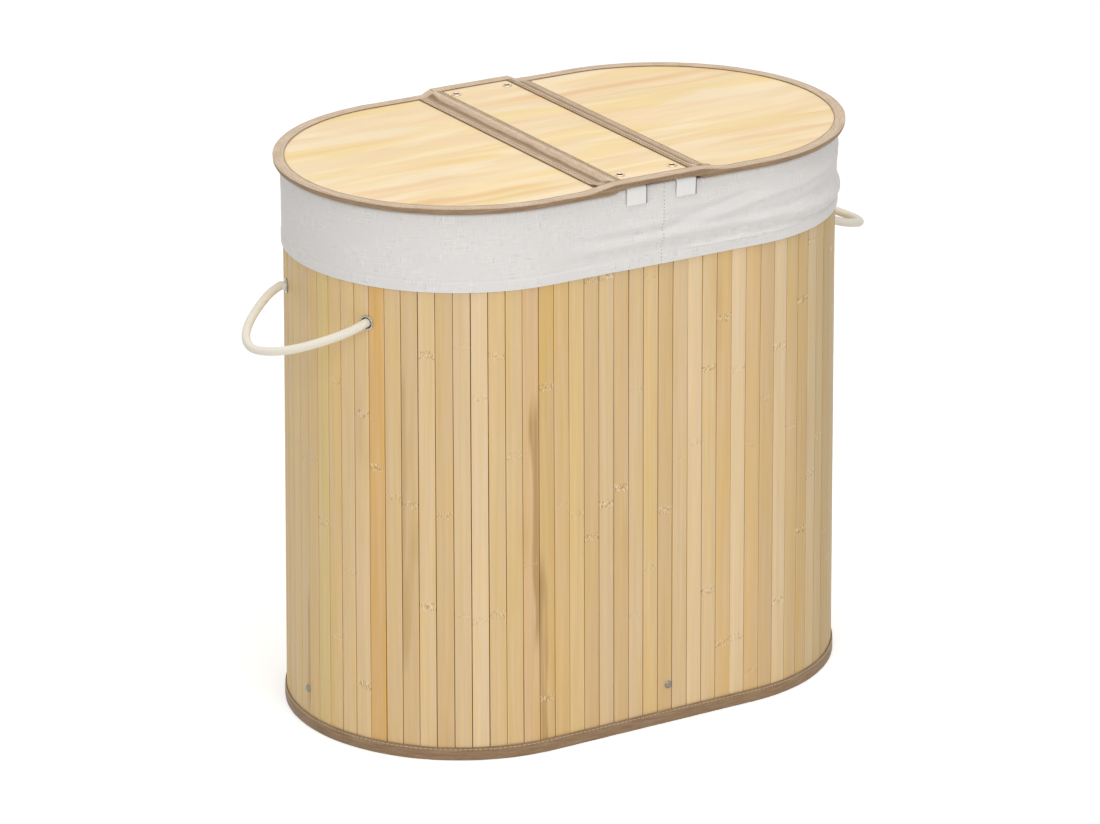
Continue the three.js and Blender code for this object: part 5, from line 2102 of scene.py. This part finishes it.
@dataclass(frozen=True)
class LinerBags:
    """Two white cotton bags side by side in the wall, with a stiffer cloth between them."""

    oval: Oval
    finishes: Finishes
    rim: float = 560.3 * MM
    floor: float = 7.1 * MM
    half_gap: float = 2.0 * MM
    rim_radius: float = 172.9 * MM
    taper: float = 5 * MM
    corner: float = 13 * MM
    cloth: float = 0.8 * MM
    columns: int = 250
    bottom_middle: float = -0.137
    bottom_run: float = 0.15
    # what the bottom adds to the flat cloth's length and area
    bottom_length: float = 0.16
    bottom_area: float = 0.088
    knot_dent: float = 17 * MM
    knot_spread: float = 46 * MM
    knot_ways: tuple[float, float] = (0.0, 0.0)

    def outline(self) -> tuple[np.ndarray, np.ndarray, float]:
        """Finds the left bag's plan as even points with their directions out.

        Returns:
            The points, the directions and the length.
        """
        half = self.oval.perimeter / 2
        ways = np.linspace(-half, 0, 400) - 1e-6
        curve, _ = self.oval.places(ways, np.full(400, self.rim_radius))
        curve = curve[curve[:, 0] < -self.half_gap]
        corners = [[-self.half_gap, -self.rim_radius], [-self.half_gap, self.rim_radius]]
        closed = np.vstack([curve, corners, curve[:1]])
        lengths = lengths_along(closed)
        even = np.linspace(0, lengths[-1], self.columns, endpoint=False)
        points = np.stack([np.interp(even, lengths, closed[:, k]) for k in range(2)], axis=1)
        for _ in range(6):
            mean = (np.roll(points, 1, axis=0) + np.roll(points, -1, axis=0)) / 2
            cornered = np.linalg.norm(mean - points, axis=1) > 0.35 * MM
            points = np.where(cornered[:, None], (points + mean) / 2, points)
        tangent = np.roll(points, -1, axis=0) - np.roll(points, 1, axis=0)
        tangent /= np.linalg.norm(tangent, axis=1)[:, None]
        normal = np.stack([tangent[:, 1], -tangent[:, 0]], axis=1)
        middle = points.mean(axis=0)
        normal *= np.sign(np.einsum("ij,ij->i", normal, points - middle))[:, None]
        return points, normal, float(lengths[-1])

    def model_bag(self) -> Piece:
        """Models the left bag as one open sack.

        Returns:
            The bag.
        """
        points, normals, length = self.outline()
        turn = np.linspace(0, math.pi / 2, 5)
        down = np.arange(self.rim, self.floor + self.corner, -6 * MM)
        bend_z = self.floor + self.corner - self.corner * np.sin(turn)
        bend_in = self.corner - self.corner * np.cos(turn)
        shares = np.array([0.86, 0.72, 0.57, 0.42, 0.28, 0.15, 0.05])
        heights = np.concatenate([down, bend_z, np.full(len(shares), self.floor)])
        inset = np.concatenate([np.zeros(len(down)), bend_in, np.full(len(shares), self.corner)])
        scale = np.concatenate([np.ones(len(down) + len(turn)), shares])
        rows = len(heights) - 1
        middle = np.array([self.bottom_middle, 0.0])
        knots, _ = self.oval.places(np.array(self.knot_ways), self.oval.face_radius)

        def place(along: np.ndarray, across: np.ndarray) -> Pair:
            """Wraps the grid to a sack with soft upright folds.

            Args:
                along: Shares along the sheet.
                across: Shares across the sheet.

            Returns:
                The points, and their ways in metres.
            """
            row = np.rint(across * rows).astype(int)
            column = np.rint(along * self.columns).astype(int) % self.columns
            plan, out, height = points[column], normals[column], heights[row]
            drop = (self.rim - height) / (self.rim - self.floor)
            angle = 2 * math.pi * column / self.columns
            field = np.stack([np.cos(angle), np.sin(angle), height / 0.5], axis=1)
            folds = 0.5 + 0.5 * soft_noise(field, (0.34, 0.34, 0.9), 4.0)
            small = 0.5 + 0.5 * soft_noise(field, (0.12, 0.12, 0.35), 8.0)
            creases = soft_noise(np.stack([angle, height, drop], axis=1), (0.7, 17 * MM, 1), 6.0)
            free = smooth_step(drop, 0.02, 0.3)
            push = free * (6.5 * folds ** 2 + 2.2 * small ** 2) * MM
            push += np.clip(creases, -0.5, 1) * 1.3 * MM * smooth_step(drop, 0.75, 0.95) * (scale[row] == 1)
            push = np.maximum(push, 0) + self.taper * drop + inset[row]
            for knot in knots:
                far = np.hypot(np.linalg.norm(plan - knot, axis=1) - 8 * MM, height - HANDLE_HEIGHT)
                push = np.maximum(push, self.knot_dent * hump(far, 0, self.knot_spread))
            settled = plan - out * push[:, None]
            settled = middle + (settled - middle) * scale[row][:, None]
            lying = smooth_step(drop, 0.97, 1.0)
            lump = (0.5 + 0.5 * soft_noise(np.column_stack([settled, height]), (0.05, 0.05, 1), 2.0)) * 2.4 * MM
            height = height + lying * lump
            run = self.rim - heights[row] + (1 - scale[row]) * self.bottom_run
            ways = np.stack([along * length, run], axis=1)
            return np.column_stack([settled, height]), ways

        bag = sheet_grid("bag", self.columns, rows, place, closed=True)
        capped(bag, below=0.1)
        recalculated(bag)
        with_modifier(bag, "SOLIDIFY", thickness=self.cloth, offset=-1)
        smoothed(bag, 60)
        return bag

    def build_divider(self) -> None:
        """Builds the cloth between the bags, with its top edge rolled."""
        half_width, thickness = 172.4 * MM, 1.7 * MM

        def place(along: np.ndarray, across: np.ndarray) -> Pair:
            """Hangs the grid between the bags.

            Args:
                along: Shares along the sheet.
                across: Shares across the sheet.

            Returns:
                The points, and their ways in metres.
            """
            y = (along * 2 - 1) * half_width
            z = self.floor + across * (self.rim - 0.9 * MM - self.floor)
            field = np.stack([y, z, np.zeros_like(y)], axis=1)
            x = soft_noise(field, (70 * MM, 120 * MM, 1), 7.0) * 0.3 * MM
            return np.stack([x, y, z], axis=1), np.stack([y, z], axis=1)

        cloth = sheet_grid("divider_cloth", 90, 130, place)
        recalculated(cloth)
        with_modifier(cloth, "SOLIDIFY", thickness=thickness, offset=0)
        with editing(cloth):
            pick(cloth, Element.FACES, lambda face: abs(face.normal.x) > 0.8
                 and face.calc_center_median().z > self.rim - 9 * MM)
            bpy.ops.transform.shrink_fatten(value=0.25 * MM)
        smoothed(cloth, 60)
        finished(cloth, self.finishes.cotton, BODY, ["liner_divider"])

    def build(self) -> None:
        """Builds both bags, their rim stitches and the divider."""
        bag = self.model_bag()
        points, normals, length = self.outline()
        rim_line = [Vector((*(point - normal * 1.3 * MM), self.rim - 5 * MM))
                    for point, normal in zip(points, normals)]
        inward = [Vector((*-normal, 0)) for normal in normals]
        stitches = stitched("bag_stitches", seam_frames(rim_line, inward, 4.4 * MM))
        for name, turn in (("left", 0), ("right", math.pi)):
            sack = copied(bag, f"liner_bag_{name}_cloth", Matrix.Rotation(turn, 4, "Z"))
            finished(sack, self.finishes.cotton, BODY, [f"liner_bag_{name}"])
            row = copied(stitches, f"bag_rim_stitches_{name}", Matrix.Rotation(turn, 4, "Z"))
            finished(row, self.finishes.white_thread, BODY)
        removed(bag)
        removed(stitches)
        self.build_divider()


@dataclass(frozen=True)
class BandStraps:
    """Four short white webbing tabs, riveted under the band and turned down over the cuff."""

    finishes: Finishes
    width: float = 23.6 * MM
    thickness: float = 1.5 * MM
    inner_end: float = 150.4 * MM
    outer: float = 185.35 * MM
    level: float = 591.35 * MM
    bend: float = 3.2 * MM
    tip: float = 572.6 * MM
    middles: tuple[tuple[str, float], ...] = (("left", -25 * MM), ("right", 34 * MM))

    def side_line(self) -> list[Vector]:
        """Finds the front strap's line from its inner end to its tip, in the plane x = 0.

        Returns:
            The line's points.
        """
        flat = [Vector((0, -y, self.level)) for y in np.linspace(self.inner_end, self.outer - self.bend, 10)]
        turn = [
            Vector((0, -(self.outer - self.bend + self.bend * math.sin(a)),
                    self.level - self.bend + self.bend * math.cos(a)))
            for a in np.linspace(0.3, math.pi / 2, 5)
        ]
        down = [Vector((0, -self.outer, z)) for z in np.linspace(self.level - self.bend - 2 * MM, self.tip, 7)]
        return [*flat, *turn, *down]

    def model_strap(self) -> Piece:
        """Models one strap by drawing its end along its line.

        Returns:
            The strap.
        """
        line = self.side_line()
        strap = started(bpy.ops.mesh.primitive_plane_add, "strap", size=1)
        points = points_of(strap)
        across = np.sign(points[:, 0]) * self.width / 2
        first = np.where(points[:, 1] > 0, 0, 1)
        set_points(strap, np.array([(x, *line[i][1:]) for x, i in zip(across, first)]))
        with editing(strap):
            for before, after in zip(line[1:], line[2:]):
                pick(strap, Element.EDGES,
                     lambda edge, at=before: all((v.co.yz - at.yz).length < MERGE for v in edge.verts))
                bpy.ops.mesh.extrude_region_move(TRANSFORM_OT_translate={"value": tuple(after - before)})
            bpy.ops.mesh.select_all(action="SELECT")
            bpy.ops.mesh.normals_make_consistent(inside=False)
        with editing(strap):
            pick(strap, Element.EDGES,
                 lambda edge: abs(edge.verts[0].co.x - edge.verts[1].co.x) > self.width * 0.9)
            bpy.ops.mesh.subdivide_edgering(number_cuts=7, interpolation="LINEAR")
        run = seam_lengths(line)
        points = points_of(strap)
        near = [min(range(len(line)), key=lambda i, p=p: (line[i].yz - Vector(p[1:])).length) for p in points]
        set_ways(strap, np.array([(run[i], p[0]) for i, p in zip(near, points)]))
        with_modifier(strap, "SOLIDIFY", thickness=self.thickness, offset=0)
        with_modifier(strap, "BEVEL", width=0.35 * MM, segments=2, limit_method="ANGLE", angle_limit=0.7)
        return strap

    def build(self) -> None:
        """Builds the four straps, each with its own slight wave."""
        strap = self.model_strap()
        dice = random.Random(5)
        for side, turn in (("front", 0), ("back", math.pi)):
            for name, middle in self.middles:
                label = name if side == "front" else {"left": "right", "right": "left"}[name]
                seed = dice.uniform(0, 40)
                piece = copied(strap, f"strap_{side}_{label}", Matrix.Translation((middle, 0, 0)))
                points = points_of(piece)
                hanging = 1 - smooth_step(points[:, 2], 574 * MM, 589 * MM)
                points[:, 1] += soft_noise(points, (14 * MM, 1, 12 * MM), seed) * 0.35 * MM * hanging
                points[:, 0] += hanging * 0.3 * MM * math.sin(seed)
                set_points(piece, points)
                piece.data.transform(Matrix.Rotation(turn, 4, "Z"))
                smoothed(piece, 45)
                finished(piece, self.finishes.webbing, BODY, [f"band_strap_{side}_{label}"])
        removed(strap)


@dataclass(frozen=True)
class Rivets:
    """Hollow rivets through the band, and low domed ones through the wall at its base."""

    oval: Oval
    finishes: Finishes
    band_place: tuple[float, float] = (31 * MM, 162 * MM)
    band_top: float = 598.6 * MM
    base_height: float = 42 * MM
    base_ways: tuple[tuple[str, float], ...] = ()
    # each rivet's outline in millimetres: its radii and heights
    band_outline: Rows = (
        (2.45, -5.3), (2.45, -1.6), (2.9, 0.0), (3.5, 0.7), (4.1, 1.0), (4.7, 0.9), (5.2, 0.5),
        (5.4, 0.0), (2.75, -0.05), (2.75, -4.55), (4.2, -4.6), (4.3, -5.0), (3.6, -5.45), (2.7, -5.5),
    )
    base_outline: Rows = (
        (0.0, 1.7), (1.1, 1.64), (2.2, 1.42), (3.1, 1.02), (3.8, 0.5), (4.15, 0.1), (4.1, -0.05), (2.1, -0.1),
        (2.1, -8.0), (4.6, -8.0), (4.8, -8.3), (4.6, -8.85), (0.0, -8.9),
    )

    def build(self) -> None:
        """Builds one rivet of each kind and copies it to its four places."""
        x, y = self.band_place
        hollow = spun("hollow_rivet", [(r * MM, z * MM) for r, z in self.band_outline], 32)
        smoothed(hollow, 45)
        points = points_of(hollow)
        # painted shade: the bore's inside is dark brown and not metallic
        bore = 1 - smooth_step(np.hypot(points[:, 0], points[:, 1]), 2.9 * MM, 3.5 * MM)
        set_attribute(hollow, "bore_shade", bore)
        for side, label, place in (
            ("front", "left", (-x, -y)), ("front", "right", (x, -y)), ("back", "right", (x, y)),
            ("back", "left", (-x, y)),
        ):
            rivet = copied(hollow, f"ring_rivet_{side}_{label}", Matrix.Translation((*place, self.band_top)))
            finished(rivet, self.finishes.ring, BODY, [f"band_rivet_{side}_{label}"])
        dome = spun("domed_rivet", [(r * MM, z * MM) for r, z in self.base_outline], 28)
        smoothed(dome, 45)
        for label, way in self.base_ways:
            radius = self.oval.face_radius + 0.3 * MM + self.oval.leaning(self.base_height)
            rivet = copied(dome, f"dome_rivet_{label}", self.oval.seat(way, radius, self.base_height))
            finished(rivet, self.finishes.rivet, BODY, [f"base_rivet_{label}"])
        removed(hollow)
        removed(dome)


def dress_boards(finishes: Finishes) -> None:
    """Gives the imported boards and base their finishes.

    Args:
        finishes: The shared materials.
    """
    boards = ("lid_panel_left", "lid_panel_right", "band_panel")
    base = ("base_board", "base_tab_front", "base_tab_left", "base_tab_back", "base_tab_right")
    for nodes, material in ((boards, finishes.board), (base, finishes.base_cloth)):
        for node in nodes:
            for slot in bpy.data.objects[node].material_slots:
                slot.material = material
            log.info("%s: dressed", node)


def seen_itself(node: Adder) -> Node:
    """Adds what tells a ray that sees the surface from one that only lights it.

    Args:
        node: Adds a node to the tree.

    Returns:
        The node that is one for such a ray.
    """
    kinds = node("LightPath").outputs
    seen = node("Math", (kinds["Is Camera Ray"], kinds["Is Glossy Ray"]), operation="MAXIMUM")
    return node("Math", (seen, kinds["Is Transmission Ray"]), operation="MAXIMUM")


@dataclass(frozen=True)
class PaperFloorFinish(Finish):
    """Matte white paper under the hamper, with a glow that keeps it white round a soft shadow."""

    title: str = "white_paper_floor"
    colour: str = "f2f2f2"
    strength: float = 0.42

    def paint(self, node: Adder) -> Node:
        """Adds the paper's nodes.

        Args:
            node: Adds a node to the tree.

        Returns:
            The shader.
        """
        paper = node("BsdfDiffuse", {"Color": srgb(self.colour)})
        glow = node("Emission", {"Color": (1, 1, 1, 1), "Strength": self.strength})
        return node("MixShader", (seen_itself(node), paper, node("AddShader", (paper, glow))))


@dataclass(frozen=True)
class Studio:
    """A pale floor, a white world and four large soft lamps at a plain level."""

    floor_half: float = 6.0
    world_strength: float = 0.35
    # a lamp's name, where it hangs, the length of its side, and its power in watts
    lamps: tuple[tuple[str, tuple[float, float, float], float, float], ...] = (
        ("top_lamp", (0.0, -0.6, 4.4), 3.2, 83.0),
        ("front_lamp", (-0.3, -4.2, 2.6), 2.2, 43.0),
        ("left_lamp", (-3.8, -2.6, 2.4), 2.4, 39.0),
        ("back_lamp", (0.0, 4.0, 3.0), 2.6, 25.0),
    )

    def paint_world(self) -> None:
        """Lights the scene evenly, and shows white where the world itself is seen."""
        world = bpy.data.worlds.new("studio_world")
        bpy.context.scene.world = world
        node = empty_tree(world)
        strength = node("MapRange", (seen_itself(node), 0, 1, self.world_strength, 1))
        light = node("Background", {"Color": (1, 1, 1, 1), "Strength": strength})
        node("OutputWorld", {"Surface": light})

    def build(self) -> None:
        """Builds the floor, the world and the lamps, which face the hamper."""
        bpy.context.scene.view_settings.view_transform = "Standard"
        floor = started(bpy.ops.mesh.primitive_plane_add, "studio_floor", size=2 * self.floor_half)
        floor.data.materials.append(PaperFloorFinish().material())
        self.paint_world()
        for name, place, size, power in self.lamps:
            data = bpy.data.lights.new(name, "AREA")
            data.shape, data.size, data.energy = "SQUARE", size, power
            lamp = placed(name, data)
            lamp.location = place
            lamp.rotation_euler = (Vector((0, 0, 0.3)) - Vector(place)).to_track_quat("-Z", "Y").to_euler()


def main() -> None:
    """Builds the hamper's looks in order."""
    PhotoView().build()
    lid_low, lid_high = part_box("lid_binding_left")
    front_low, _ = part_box("slat_wall_front")
    oval = Oval(straight_half=-lid_low.x - lid_high.y, face_radius=-front_low.y)
    finishes = build_finishes()
    handles = RopeHandles(oval, finishes)
    handles.build()
    front, back = handles.eyelet_ways()
    half_round = oval.perimeter / 2
    SlatWalls(oval, finishes, hole_ways=(front, back, front + half_round, back + half_round)).build()
    bindings = Bindings(oval, finishes)
    bindings.build()
    HingeTapes(finishes, bindings).build()
    LinerCuff(oval, finishes).build()
    LinerBags(oval, finishes, knot_ways=(front, back)).build()
    BandStraps(finishes).build()
    Rivets(oval, finishes, base_ways=(
        ("front", 17 * MM), ("left", oval.left_apex), ("back", 17 * MM + half_round),
        ("right", oval.left_apex + half_round),
    )).build()
    dress_boards(finishes)
    Studio().build()


if __name__ == "__main__":
    main()
